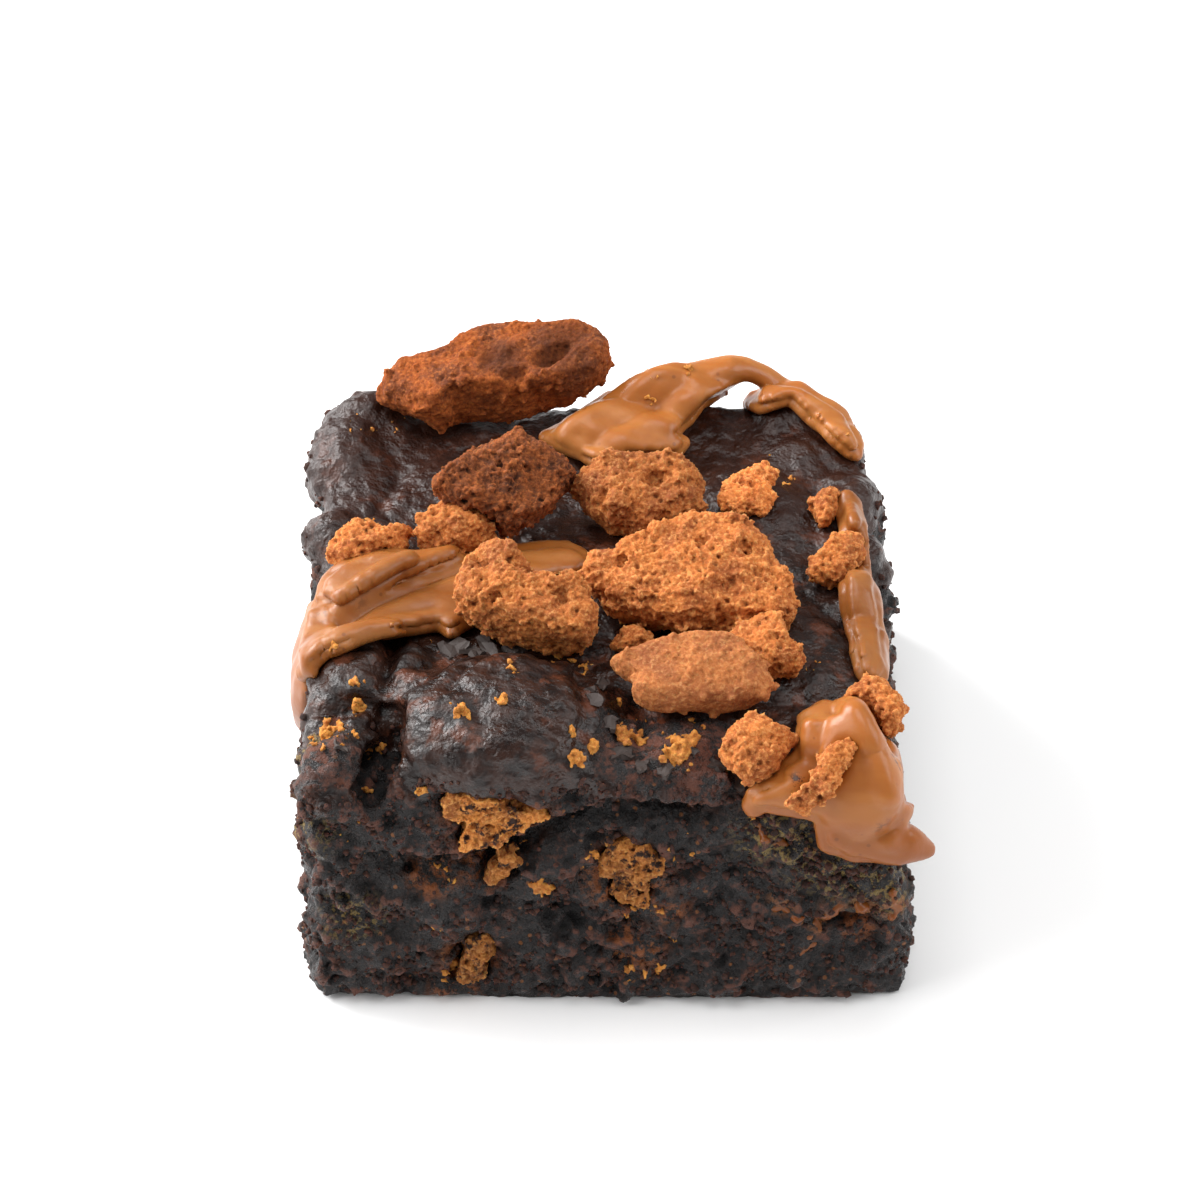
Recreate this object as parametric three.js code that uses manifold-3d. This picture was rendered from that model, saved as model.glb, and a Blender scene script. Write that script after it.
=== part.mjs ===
// A square of dark chocolate brownie, cut on all four sides, with a lumpy crust, four smears of
// caramel-coloured biscuit spread and broken pieces of baked biscuit, on top and in the crumb.
// Millimetres. X runs to the right along the front cut, Y to the back, Z up from the flat underside.
import * as THREE from "three";
import { mergeVertices } from "three/addons/utils/BufferGeometryUtils.js";
import Module from "manifold-3d";

const wasm = await Module();
wasm.setup();

// Driving sizes.
const LEFT = -33;
const RIGHT = 32;
const DEPTH = 66;
const HEIGHT = 36;
const RIGHT_WALL_LEAN = 4.4;
const LEFT_WALL_LEAN = 1.2;
const FRONT_WALL_LEAN = 1.2;
const EDGE_ROUND = 2.6;
const WALL_RELIEF = 1.1;
const WALL_CLUMP = 7;
const TOP_RELIEF = 0.9;
const TOP_CLUMP = 9;
const CLEARANCE = 0.4;
const INCLUSION_PROUD = 0.45;
const UPRIGHT = 90;

// How the rim and the faces of a broken biscuit are worn.
const RIM_WEAR = 1.3;
const RIM_FALL = 0.26;
const ROUGHNESS = 0.7;
const ROUGH_SHARE = 0.1;
const ROUGH_CLUMP = 3.2;

// How a coat of spread lies on the crust: its slope in degrees, and the steps of its rim.
const COAT_SLOPE = 48;
const COAT_REACH = 30;
const COAT_STEPS = [
  { inset: 0, share: 0.6 },
  { inset: 1, share: 1 },
];
const HUMP_INSET = 0.6;

// How finely the solids are cut into flat faces.
const BLOCK_STEPS = 12;
const BLOCK_LAYERS = 7;
const COAT_BLOCK_STEPS = 9;
const COAT_BLOCK_LAYERS = 5;
const COAT_DETAIL = 1;
const LARGE = 9.7;
const LARGE_DETAIL = 3;
const SMALL_DETAIL = 2;
const PIT_DETAIL = 1;
const SLAB_LAYERS = 2;
const SLAB_FACET = 2.9;
const SMEAR_SIDES = 8;
const SMEAR_STEPS = 7;
const CRUST_TOLERANCE = 0.36;
const COAT_TOLERANCE = 0.4;
const FACET_TOLERANCE = 0.25;

const UP = [0, 0, 1];
const CUBE_CORNERS = [0, 1, 2, 3, 4, 5, 6, 7].map((i) => [i & 1, (i >> 1) & 1, i >> 2]);

const CRUMB = { color: 0x1b120f, roughness: 0.75, metalness: 0 };
const BISCUIT = { color: 0xb5672f, roughness: 0.85, metalness: 0 };
const DARK_BISCUIT = { color: 0x76401f, roughness: 0.85, metalness: 0 };
const SPREAD = { color: 0xb3733a, roughness: 0.3, metalness: 0 };

// Smooth noise between -1 and 1 that is always the same for the same seed.
function latticeValue(x, y, z, seed) {
  const s = Math.sin(x * 127.1 + y * 311.7 + z * 74.7 + seed * 53.3) * 43758.5453;
  return 2 * (s - Math.floor(s)) - 1;
}

function noise(point, wavelength, seed) {
  const scaled = point.map((v) => v / wavelength + 100);
  const cell = scaled.map(Math.floor);
  const ease = scaled.map((v, i) => v - cell[i]).map((t) => t * t * (3 - 2 * t));
  let sum = 0;
  for (const corner of CUBE_CORNERS) {
    const weight = corner.reduce((w, c, i) => w * (c ? ease[i] : 1 - ease[i]), 1);
    sum += weight * latticeValue(cell[0] + corner[0], cell[1] + corner[1], cell[2] + corner[2], seed);
  }
  return sum;
}

function smoothStep(low, high, value) {
  const t = Math.min(1, Math.max(0, (value - low) / (high - low)));
  return t * t * (3 - 2 * t);
}

// Moves every vertex of a geometry, then turns it into a solid.
function solidFrom(geometry, move) {
  const position = geometry.getAttribute("position");
  const point = new THREE.Vector3();
  for (let i = 0; i < position.count; i += 1) {
    point.fromBufferAttribute(position, i);
    move(point);
    position.setXYZ(i, point.x, point.y, point.z);
  }
  geometry.deleteAttribute("normal");
  geometry.deleteAttribute("uv");
  const merged = mergeVertices(geometry, 1e-4);
  const mesh = new wasm.Mesh({
    numProp: 3,
    vertProperties: new Float32Array(merged.attributes.position.array),
    triVerts: new Uint32Array(merged.index.array),
  });
  return new wasm.Manifold(mesh);
}

function largestOf(solid) {
  const bodies = solid.decompose();
  return bodies.reduce((best, body) => (body.volume() > best.volume() ? body : best));
}

function union(solids) {
  return solids.reduce((all, solid) => all.add(solid));
}

function cutBy(solid, cutters) {
  return cutters.reduce((left, cutter) => left.subtract(cutter), solid);
}

// Rises (+) and dips (-) of the block's top: place, reach and height.
const TOP_SWELLS = [
  { x: 12.4, y: 32, reach: 3.2, rise: 2 },
  { x: 11, y: -33, reach: 8, rise: -3.4 },
  { x: -20, y: 15, reach: 9, rise: -1.2 },
  { x: -31, y: 27, reach: 6, rise: 2 },
  { x: 12, y: 22, reach: 6, rise: -1.5 },
  { x: 24, y: -8, reach: 8, rise: -0.8 },
  { x: -33, y: -31, reach: 5, rise: -1.6 },
  { x: 33, y: 33, reach: 5.4, rise: -3 },
];

// The cut block: upright walls with rounded edges, pressed flat where it stands.
function block(grow, steps = BLOCK_STEPS, layers = BLOCK_LAYERS) {
  const half = { x: (RIGHT - LEFT) / 2, y: DEPTH / 2 };
  const middle = (RIGHT + LEFT) / 2;
  const bottom = -EDGE_ROUND;
  const geometry = new THREE.BoxGeometry(2, 2, 1, steps, steps, layers);
  return solidFrom(geometry, (p) => {
    const share = p.z + 0.5;
    const flat = new THREE.Vector3(p.x * half.x, p.y * half.y, bottom + share * (HEIGHT - bottom));
    const core = new THREE.Vector3(
      THREE.MathUtils.clamp(flat.x, EDGE_ROUND - half.x, half.x - EDGE_ROUND),
      THREE.MathUtils.clamp(flat.y, EDGE_ROUND - half.y, half.y - EDGE_ROUND),
      THREE.MathUtils.clamp(flat.z, bottom + EDGE_ROUND, HEIGHT - EDGE_ROUND),
    );
    const outward = flat.clone().sub(core).normalize();
    const rough = WALL_RELIEF * noise([flat.x, flat.y, flat.z], WALL_CLUMP, 3);
    const upright = Math.hypot(outward.x, outward.y);
    p.copy(core).addScaledVector(outward, EDGE_ROUND + grow + rough * upright);
    const low = 1 - smoothStep(0, HEIGHT, flat.z);
    const sideLean = flat.x > 0 ? RIGHT_WALL_LEAN : LEFT_WALL_LEAN;
    p.x += middle + (low * sideLean * flat.x) / half.x;
    p.y += (low * FRONT_WALL_LEAN * Math.min(flat.y, 0)) / half.y;
    const lift = TOP_SWELLS.reduce((sum, s) => {
      const away = Math.hypot(flat.x + middle - s.x, flat.y - s.y) / s.reach;
      return sum + s.rise * Math.exp(-away * away);
    }, TOP_RELIEF * noise([flat.x, flat.y, 0], TOP_CLUMP, 7));
    p.z += lift * smoothStep(HEIGHT * 0.5, HEIGHT, flat.z);
    p.z = Math.max(p.z, 0);
  });
}

function detailFor(reaches) {
  return Math.max(...reaches) > LARGE ? LARGE_DETAIL : SMALL_DETAIL;
}

// A rounded lump, such as a blister of the crust: half sizes, and how far it is from an ellipsoid.
function lump({ at, size, yaw = 0, uneven = 0.07, detail = detailFor(size), seed }, grow = 0) {
  const turn = new THREE.Euler(0, 0, THREE.MathUtils.degToRad(yaw));
  return solidFrom(new THREE.IcosahedronGeometry(1, detail), (p) => {
    const swell = 1 + uneven * noise([p.x, p.y, p.z], 0.7, seed);
    p.multiplyScalar(swell).multiply(new THREE.Vector3(...size.map((s) => s + grow)));
    p.applyEuler(turn).add(new THREE.Vector3(...at));
  });
}

const CRUST_LUMPS = [
  { at: [-10.3, -24.4, 35], size: [13.4, 9.6, 6.6], yaw: 4, seed: 11 },
  { at: [-24, -17.5, 34.2], size: [9, 6.2, 4.8], yaw: -10, seed: 12, uneven: 0.12 },
  { at: [-28.6, -29, 31.6], size: [5.6, 5, 5.6], seed: 13, uneven: 0.14 },
  { at: [9.6, -27, 31.8], size: [9.5, 6.6, 4.6], yaw: 5, seed: 14, uneven: 0.1 },
  { at: [21.5, -13, 32.6], size: [10, 12, 4.9], seed: 15 },
  { at: [25, -26, 31.4], size: [7, 7, 5], seed: 16 },
  { at: [-30.6, 24, 33], size: [5, 9.4, 5.6], seed: 17, uneven: 0.12 },
  { at: [-28.4, 29.6, 33], size: [6.4, 4.6, 5.6], yaw: 10, seed: 25, uneven: 0.12 },
  { at: [-31.2, 9.4, 32], size: [4.2, 4.6, 5], seed: 26, uneven: 0.14 },
  { at: [-19, 15, 32], size: [12, 10.5, 4.8], yaw: 20, seed: 18 },
  { at: [19, 13, 33], size: [9.5, 8.4, 4.9], yaw: -15, seed: 19 },
  { at: [25.8, 23.6, 32.4], size: [6.6, 6.4, 4.6], yaw: 30, seed: 20, uneven: 0.12 },
  { at: [24.6, 29.4, 33.8], size: [5.6, 4, 4.4], seed: 28, uneven: 0.12 },
  { at: [29.6, 14.6, 29], size: [5, 6.8, 9], seed: 21, uneven: 0.1 },
  { at: [30, 5.4, 28.6], size: [5, 5, 8.6], seed: 27, uneven: 0.1 },
  { at: [29, -5, 28], size: [5, 6, 9], seed: 22, uneven: 0.1 },
  { at: [0, 1, 32], size: [15, 13, 5], seed: 23 },
];

// Fissures: between the dome and its neighbours, and where the front cut has torn.
const FISSURES = [
  { at: [-24, -29, 36.5], size: [1.9, 7.8, 7], yaw: -12, seed: 31 },
  { at: [-17.3, -15.6, 39], size: [5.5, 1.3, 3.4], yaw: 28, seed: 32 },
  { at: [-9.5, -34.8, 24.8], size: [6.4, 3.2, 1.1], seed: 33 },
  { at: [8, -35, 29.4], size: [6.4, 3.4, 1.4], yaw: 3, seed: 34 },
  { at: [27, -35.6, 12.5], size: [4.2, 3.2, 1.6], seed: 36 },
];

function brownieShape(grow) {
  const whole = union([block(grow), ...CRUST_LUMPS.map((l) => lump(l, grow))]);
  return cutBy(whole, FISSURES.map((f) => lump(f, -grow))).simplify(CRUST_TOLERANCE);
}

// A broken piece of biscuit: a slab with an outline of X and Y points, worn at its rim and rough all
// over, then tilted about X (pitch) and Y (roll).
function fragment({ at, outline, thick, pitch = 0, roll = 0, seed }, grow = 0) {
  const half = thick / 2 + grow;
  const far = Math.max(...outline.map(([x, y]) => Math.hypot(x, y)));
  const rough = Math.min(ROUGHNESS, thick * ROUGH_SHARE);
  const flat = new wasm.CrossSection([outline]).offset(grow, "Miter");
  const slab = flat.extrude(2 * half, SLAB_LAYERS, 0, [1, 1], true).refineToLength(SLAB_FACET);
  const worn = slab.warp((v) => {
    const place = [...v];
    const rim = Math.hypot(v[0], v[1]) / far;
    const narrow = 1 - (RIM_WEAR / far) * Math.abs(v[2] / half) ** 3;
    v[0] = v[0] * narrow + rough * noise(place, ROUGH_CLUMP, seed);
    v[1] = v[1] * narrow + rough * noise(place, ROUGH_CLUMP, seed + 5);
    v[2] = v[2] * (1 - RIM_FALL * rim * rim) + rough * noise(place, ROUGH_CLUMP, seed + 9);
  });
  return worn.rotate([pitch, roll, 0]).translate(at);
}

function pitted(piece) {
  const likeThis = { uneven: 0.15, detail: PIT_DETAIL, seed: piece.seed };
  const pits = (piece.pits ?? []).map((pit) => lump({ ...likeThis, ...pit }));
  return cutBy(fragment(piece), pits);
}

// Biscuit pieces that lie on the crust, the lowest first.
const TOP_BISCUITS = {
  biscuit_nub: {
    at: [-17.2, 5, 39.2],
    outline: [[-0.3, -3], [3.8, -2.6], [5.2, -1.4], [4.8, 0.2], [-1.1, 2.6], [-2.6, 1.9], [-3.8, -2.2]],
    thick: 5.4, pitch: 10, seed: 42,
  },
  biscuit_small: {
    at: [3.7, -12.9, 37.8],
    outline: [[-0.3, -1.5], [1.5, -1.1], [2.2, 0], [1.1, 0.8], [-0.3, 1.1], [-1.8, 0], [-2.3, -1.2]],
    thick: 3.2, seed: 43,
  },
  biscuit_left: {
    at: [-26.6, 3.4, 38.4],
    outline: [
      [-3, -3.1], [3.5, -1.3], [4.7, 1.7], [1, 0.4], [-0.2, 1.2], [-2.7, 0.8], [-4.7, -0.5], [-5.4, -2.7],
    ],
    thick: 5, pitch: 8, seed: 44,
  },
  biscuit_sliver: {
    at: [26.9, 9.4, 37.8],
    outline: [[-0.4, 3.1], [-1.4, 1.1], [-0.9, -2.2], [0.3, -1.7], [0.9, 0.1], [1.5, 2.8], [0.9, 4.2]],
    thick: 3, seed: 45,
  },
  biscuit_right: {
    at: [28.2, 1.2, 38],
    outline: [
      [0.3, -4], [0.8, -2.2], [2.2, -0.6], [2.5, 2.2], [1.3, 3.6], [-1.4, 0.7], [-3.3, -0.8], [-3.7, -3.1],
    ],
    thick: 4.2, pitch: 10, seed: 46,
  },
  biscuit_chip: {
    at: [17.6, 11.4, 38.8],
    outline: [
      [-1.6, -2.8], [2, -3.1], [3.3, -0.7], [2.5, 1.3], [3.6, 3.2], [2.1, 4.5], [-0.4, 3.4], [-3.1, 1.2],
      [-3.5, -1.3],
    ],
    thick: 2.6, pitch: 14, seed: 47,
  },
  biscuit_front_shard: {
    at: [19.2, -16.2, 39.4],
    outline: [
      [-4.7, 1.6], [-4.1, -2], [-1.7, -3.7], [2.7, -2.8], [3.6, -1.6], [1.6, 1], [0.5, 3.3], [-1, 4.3],
      [-3.8, 3.3],
    ],
    thick: 5, pitch: 6, seed: 48,
  },
  biscuit_front: {
    at: [9.8, -21.2, 40.2],
    outline: [
      [-6.6, -2.7], [-5.6, -3.5], [-2.6, -4], [4.8, -4], [8.4, -2.9], [9.2, -1.6], [7.7, 1.8], [5.2, 4.6],
      [1.4, 4.8], [-2.2, 4], [-8.8, 1.1], [-5.8, -1],
    ],
    thick: 5, pitch: 16, seed: 49,
  },
  biscuit_middle: {
    at: [-8.2, -10.4, 41.4],
    outline: [
      [-8.1, 2.2], [-7.4, -0.3], [-5.6, -2.4], [-3.3, -4], [6.9, -6], [8, -2.1], [7.1, -1.1], [6.8, 1.1],
      [5, 2.4], [3.7, 1.5], [1.9, 2.1], [-4.4, 6.3], [-5.9, 5.9], [-7.1, 4.4],
    ],
    thick: 8.6, pitch: 16, seed: 50,
    pits: [
      { at: [-8.9, -9.2, 45.8], size: [2.4, 1.2, 1.3], yaw: -20 },
      { at: [-4.4, -13.2, 45], size: [1.5, 1.8, 2] },
      { at: [-12, -13.6, 44.6], size: [1.2, 1, 1.2] },
    ],
  },
  biscuit_large: {
    at: [10.4, -6.2, 41],
    outline: [
      [-10.6, -2.1], [-8.1, -3.7], [-0.7, -6.3], [3.2, -5.8], [8.3, -6.6], [10.9, -6.2], [12, -3.8], [9, 4.4],
      [5.9, 6.7], [1.5, 7.6], [-7.9, 4], [-8.6, 2.5], [-11.3, 2.5], [-12.5, 0.5],
    ],
    thick: 7.4, pitch: 16, seed: 51,
    pits: [
      { at: [16.4, -5.4, 44.6], size: [1, 1.7, 1.6], yaw: 20 },
      { at: [11.6, -4.6, 45.4], size: [1.2, 0.9, 1.2] },
      { at: [10, -11.4, 43.6], size: [1.3, 0.8, 1.3] },
      { at: [3, -6.6, 43.8], size: [1.1, 1.2, 1] },
    ],
  },
  biscuit_pitted: {
    at: [4.2, 8.8, 40.8],
    outline: [
      [-2.8, -3.7], [0.5, -4.8], [7.8, -2.3], [7.1, 0.1], [7.7, 1.9], [6.4, 2.7], [5.7, 4.7], [1.7, 5.3],
      [-6.6, 3.2], [-7.5, 0.8],
    ],
    thick: 7, pitch: 16, seed: 52,
    pits: [
      { at: [6.3, 8.2, 44.6], size: [1.6, 1.5, 2.6] },
      { at: [0.6, 6.2, 43], size: [1, 0.9, 1.2] },
      { at: [9.6, 5.4, 43], size: [0.9, 1.2, 1.2] },
    ],
  },
  biscuit_dark: {
    at: [-11.2, 9.2, 43],
    outline: [[1.6, -6.2], [4.7, -4], [8.5, 1.3], [7.5, 3.2], [0.4, 5.8], [-8.3, -1], [-8.4, -2.8]],
    thick: 6.4, pitch: 26, roll: 12, seed: 53,
  },
  biscuit_back: {
    at: [-12.6, 28.4, 41.4],
    outline: [
      [-13, -1.3], [-7.4, -4.4], [-5, -2.6], [4.1, -1.6], [8.9, -0.8], [12.4, 0.6], [14, 3.4],
      [13.1, 6.3], [11, 8], [2.4, 8], [-9, 3.8], [-12, 3.4], [-14.3, 0.4],
    ],
    thick: 8, pitch: 14, roll: -4, seed: 54,
    pits: [
      { at: [-6, 29, 46.4], size: [3.4, 1.7, 2.6], yaw: 35 },
      { at: [-10.4, 26.6, 45], size: [2, 1.1, 1.6], yaw: 10 },
      { at: [-17, 25, 43.6], size: [1.6, 1, 1.6] },
    ],
  },
  biscuit_edge: {
    at: [17, -29.8, 37.4],
    outline: [
      [-3.4, -2.1], [-2.1, -3.1], [-0.4, -4], [1.6, -3.7], [3.9, -0.9], [4.6, 0.8], [2.4, 1.6], [1.7, 2.8],
      [-1.7, 2.7], [-2.9, 1.6], [-2.6, 0.3], [-3.8, -0.7],
    ],
    thick: 5.6, pitch: 14, seed: 55,
  },
  biscuit_corner: {
    at: [30, -23.6, 37.4],
    outline: [
      [-3.2, 0.2], [-1.2, 0.4], [0.3, -0.4], [1.8, -3.4], [2.9, -3.6], [3.5, 0], [1.6, 2.9], [-0.1, 3.3],
      [-2.2, 1.7],
    ],
    thick: 5.6, pitch: 8, seed: 56,
  },
  biscuit_in_spread: {
    at: [24.6, -33.4, 38.6],
    outline: [[-2.2, -5.7], [1, -2.8], [3.3, 1.6], [1.9, 1.9], [0.6, 1.1], [-1.2, -1.9], [-4.4, -4.8]],
    thick: 3.4, pitch: 40, seed: 57,
  },
};

// Biscuit pieces baked into the crumb, which the front cut shows: their outlines stand upright.
const INCLUSIONS = {
  inclusion_upper: {
    at: [-11.5, -32.4, 29],
    outline: [
      [-5.1, 0.7], [-3.9, -0.6], [-4.6, -2.5], [-3.9, -4.1], [0, -3.8], [3.2, -1.4], [5.7, 0.2], [4.4, 1.7],
      [1.1, 2.8], [-0.6, 4.3], [-2.3, 3.5], [-4.3, 4], [-5.7, 2.6],
    ],
    thick: 7, pitch: UPRIGHT, seed: 61,
    pits: [{ at: [-11, -35.2, 28.6], size: [2.6, 2, 0.8] }],
  },
  inclusion_left: {
    at: [-11.1, -32.8, 21.5],
    outline: [[-0.7, -2.8], [0.5, -1.6], [2, 1.6], [1.2, 2.8], [-1.3, -0.1], [-2, -2.6]],
    thick: 5, pitch: UPRIGHT, seed: 62,
  },
  inclusion_middle: {
    at: [3.1, -32.6, 20],
    outline: [
      [-2.8, 3.3], [-3.3, 1], [-2, -0.3], [-2.6, -2.4], [-1.3, -3.7], [0.8, -4.6], [2.4, -2.7], [2, -0.3],
      [3.3, 1.4], [3.2, 3.6], [1.4, 4.6], [-1.8, 4.6],
    ],
    thick: 7, pitch: UPRIGHT, seed: 63,
    pits: [{ at: [2.9, -35.2, 20.2], size: [1.5, 2.2, 2] }],
  },
  inclusion_low: {
    at: [-14.7, -32.8, 6.9],
    outline: [[-0.4, -4.6], [1.5, -3], [1, -0.6], [2.1, 2], [1.4, 4.5], [-0.2, 4.2], [-2.1, -4]],
    thick: 6, pitch: UPRIGHT, seed: 64,
  },
};

// A smear of spread: a soft band that follows a path. Each stop gives its middle, the way its face
// looks out, and its half width and half thickness there.
function smear(stops) {
  const curveThrough = (values) => new THREE.CatmullRomCurve3(values.map((v) => new THREE.Vector3(...v)));
  const middle = curveThrough(stops.map((s) => s.at));
  const facing = curveThrough(stops.map((s) => s.out ?? UP));
  const breadth = curveThrough(stops.map((s) => [s.wide, s.thick, 0]));
  const geometry = new THREE.CylinderGeometry(1, 1, 1, SMEAR_SIDES, SMEAR_STEPS);
  return solidFrom(geometry, (p) => {
    const t = THREE.MathUtils.clamp(p.y + 0.5, 0, 1);
    const along = middle.getTangent(t);
    const out = facing.getPoint(t).normalize();
    const side = along.clone().cross(out).normalize();
    const face = side.clone().cross(along).normalize();
    const size = breadth.getPoint(t);
    const across = p.x * size.x;
    const outward = p.z * size.y;
    p.copy(middle.getPoint(t)).addScaledVector(side, across).addScaledVector(face, outward);
  });
}

// The crust with its lumps, a coat's thickness out, more plainly than the crust itself.
function crustAt(grow) {
  const lumps = CRUST_LUMPS.map((l) => lump({ ...l, detail: COAT_DETAIL }, grow));
  return union([block(grow, COAT_BLOCK_STEPS, COAT_BLOCK_LAYERS), ...lumps]);
}

// Spread that coats the crust inside an outline, as far as a lump around it reaches, with humps on
// it. The outline lies in a sloping plane through `at`, which faces up and to the front; the coat is
// thinner along its rim.
function coat({ at, outline, thick, within, humps = [] }) {
  const flat = new wasm.CrossSection([outline]);
  const column = (inset) => {
    const upright = flat.offset(-inset, "Miter").extrude(COAT_REACH, 0, 0, [1, 1], true);
    return upright.rotate([COAT_SLOPE, 0, 0]).translate(at);
  };
  const steps = COAT_STEPS.map(({ inset, share }) => column(inset).intersect(crustAt(thick * share)));
  const raised = humps.map((hump) => column(HUMP_INSET).intersect(lump({ ...hump, detail: SMALL_DETAIL })));
  const reached = union(steps).intersect(lump({ ...within, detail: SMALL_DETAIL }));
  return union([reached, ...raised]).simplify(COAT_TOLERANCE);
}

const leftSpread = () =>
  union([
    coat({
      at: [-18, -6, 38],
      outline: [
        [-15.6, -14.4], [-14.4, -13.3], [-14, -7.8], [-12.5, -6.4], [-7.3, -4.5], [-0.4, -3.6], [1, -4.5],
        [3.6, -2.9], [6.1, -4.3], [7.6, -0.4], [3, 5.3], [-9.6, 0.3], [-16.2, -0.8], [-16.7, -5.5],
      ],
      thick: 2.4,
      within: { at: [-20, -7, 36.6], size: [21, 14, 7], seed: 75 },
    }),
    coat({
      at: [-18, -3, 39],
      outline: [
        [-11.5, -4.5], [-4.9, -0.5], [0.9, 2], [1.5, 2.9],
        [-3.7, 2.4], [-7.4, 2.9], [-10.9, 2.1], [-14.3, -0.6],
        [-14.6, -2.9],
      ],
      thick: 4.4,
      within: { at: [-20, -3, 37], size: [18, 9, 8], seed: 76 },
    }),
    coat({
      at: [-3, -2, 38],
      outline: [
        [-14, -2], [-8.6, -1.8], [0.9, -0.5], [2.3, 1.4], [1.4, 2.8], [-0.5, 3.8], [-9.2, 3], [-14, 1.6],
      ],
      thick: 2.2,
      within: { at: [-7, -2, 37], size: [14, 9, 6], seed: 77 },
    }),
    smear([
      { at: [-30, -7.4, 36.6], out: [-0.6, 0, 0.8], wide: 6, thick: 2 },
      { at: [-33, -9, 32.5], out: [-1, 0, 0.1], wide: 8, thick: 2 },
      { at: [-33.8, -10.5, 27], out: [-1, 0, 0], wide: 6, thick: 1.8 },
      { at: [-34, -11.5, 22.5], out: [-1, 0, 0], wide: 1.4, thick: 1 },
    ]),
  ]);

const backSpread = () =>
  union([
    coat({
      at: [8, 27, 39],
      outline: [
        [-8, -7.3], [-4.9, -5.5], [1.8, -5.5], [2.7, -3.9], [1.3, -2.9], [4.9, 1], [9.9, 3.5], [11.5, 3.4],
        [9.9, 1], [11.5, -0.1], [15.2, 0.9], [22, -5.7], [23.4, -6.2], [24, -4.4], [22, -0.2], [16.7, 3.4],
        [12.6, 3.9], [11, 6.6], [3, 6.4], [-4.1, 4.4], [-15.3, -3.4],
      ],
      thick: 3.2,
      within: { at: [12, 28, 37.6], size: [31, 12, 7.6], seed: 78 },
      humps: [
        { at: [8, 30.6, 38], size: [11, 6, 5], seed: 73 },
        { at: [2, 24, 37.4], size: [9, 5, 3.6], seed: 74 },
      ],
    }),
    smear([
      { at: [10, 30, 40], wide: 3.4, thick: 1.8 },
      { at: [15.4, 32, 41.4], wide: 1.8, thick: 1.5 },
      { at: [19.2, 32.8, 40.4], wide: 1.4, thick: 1.2 },
      { at: [22.6, 32.6, 37.6], wide: 1.4, thick: 1.2 },
      { at: [26, 31.2, 36], wide: 1.4, thick: 1 },
    ]),
  ]);

const rightSpread = () =>
  coat({
    at: [30, -6, 36.5],
    outline: [
      [-1.6, 13], [-2.2, 0.1], [-0.9, -7.8], [0.2, -8.7], [1.8, -8.9], [2.8, -7.1], [2.4, -1], [1.7, 3],
      [0.9, 12.3], [-0.7, 13.4],
    ],
    thick: 2.8,
    within: { at: [30.4, -3.4, 36.4], size: [7, 21, 5.4], seed: 79 },
  });

const cornerSpread = () =>
  union([
    coat({
      at: [26, -31, 35],
      outline: [
        [8.9, -5.4], [9.5, -3.8], [7.9, -3.4], [7.2, 1.5], [4.7, 4.3], [2.3, 7.9], [0.4, 6.4], [-0.9, 6.9],
        [-4, 5.6], [-4.4, 1.8], [-6.6, 0.4], [-6.3, -0.9], [-9.7, -2.6], [-10.1, -4.1], [-9.3, -5.1],
        [-7.8, -4.3], [-2.1, -5.6], [-1.3, -8.6], [2.1, -10.3], [8.2, -10.6], [10.6, -9.2],
      ],
      thick: 2.6,
      within: { at: [26, -30, 34], size: [15, 13, 14], seed: 80 },
      humps: [
        { at: [27.4, -27.6, 36], size: [6.4, 6, 5.6], seed: 71 },
        { at: [28.6, -31, 32.4], size: [6.6, 5.6, 7], seed: 72 },
      ],
    }),
    smear([
      { at: [29, -33.8, 28.4], out: [0, -1, 0], wide: 3, thick: 1.8 },
      { at: [33, -33.6, 26.4], out: [0.4, -0.9, 0], wide: 2.6, thick: 1.8 },
      { at: [36, -33.2, 24.8], out: [0.6, -0.8, 0], wide: 1.2, thick: 1 },
      { at: [37.2, -33, 24], out: [0.6, -0.8, 0], wide: 0.5, thick: 0.4 },
    ]),
  ]);

const SPREADS = {
  spread_left: leftSpread,
  spread_back: backSpread,
  spread_right: rightSpread,
  spread_corner: cornerSpread,
};

const part = new THREE.Group();
part.name = "chocolate_brownie";

function addNode(name, solid, look) {
  const { vertProperties, triVerts } = largestOf(solid).simplify(FACET_TOLERANCE).getMesh();
  const geometry = new THREE.BufferGeometry();
  geometry.setAttribute("position", new THREE.BufferAttribute(new Float32Array(vertProperties), 3));
  geometry.setIndex(new THREE.BufferAttribute(new Uint32Array(triVerts), 1));
  geometry.computeVertexNormals();
  const mesh = new THREE.Mesh(geometry, new THREE.MeshStandardMaterial(look));
  mesh.name = name;
  part.add(mesh);
}

// The brownie, with a pocket for each biscuit piece that the front cut shows.
const pockets = Object.values(INCLUSIONS).map((piece) => fragment(piece, CLEARANCE));
addNode("brownie", cutBy(brownieShape(0), pockets), CRUMB);

const cutFace = brownieShape(INCLUSION_PROUD);
for (const [name, piece] of Object.entries(INCLUSIONS)) {
  addNode(name, pitted(piece).intersect(cutFace), BISCUIT);
}

// Each biscuit piece sits on the crust and on the pieces laid before it.
const aroundCrust = brownieShape(CLEARANCE);
const laid = [];
for (const [name, piece] of Object.entries(TOP_BISCUITS)) {
  const look = name === "biscuit_dark" ? DARK_BISCUIT : BISCUIT;
  addNode(name, cutBy(pitted(piece), [aroundCrust, ...laid]), look);
  laid.push(fragment(piece, CLEARANCE));
}

// The spread fills in round the crust and the biscuit pieces.
for (const [name, shape] of Object.entries(SPREADS)) {
  addNode(name, cutBy(shape(), [aroundCrust, ...laid]), SPREAD);
}

export default part;
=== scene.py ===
"""A square of chocolate brownie with biscuit spread and broken biscuit, dressed over the frame."""

import math
import random

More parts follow.
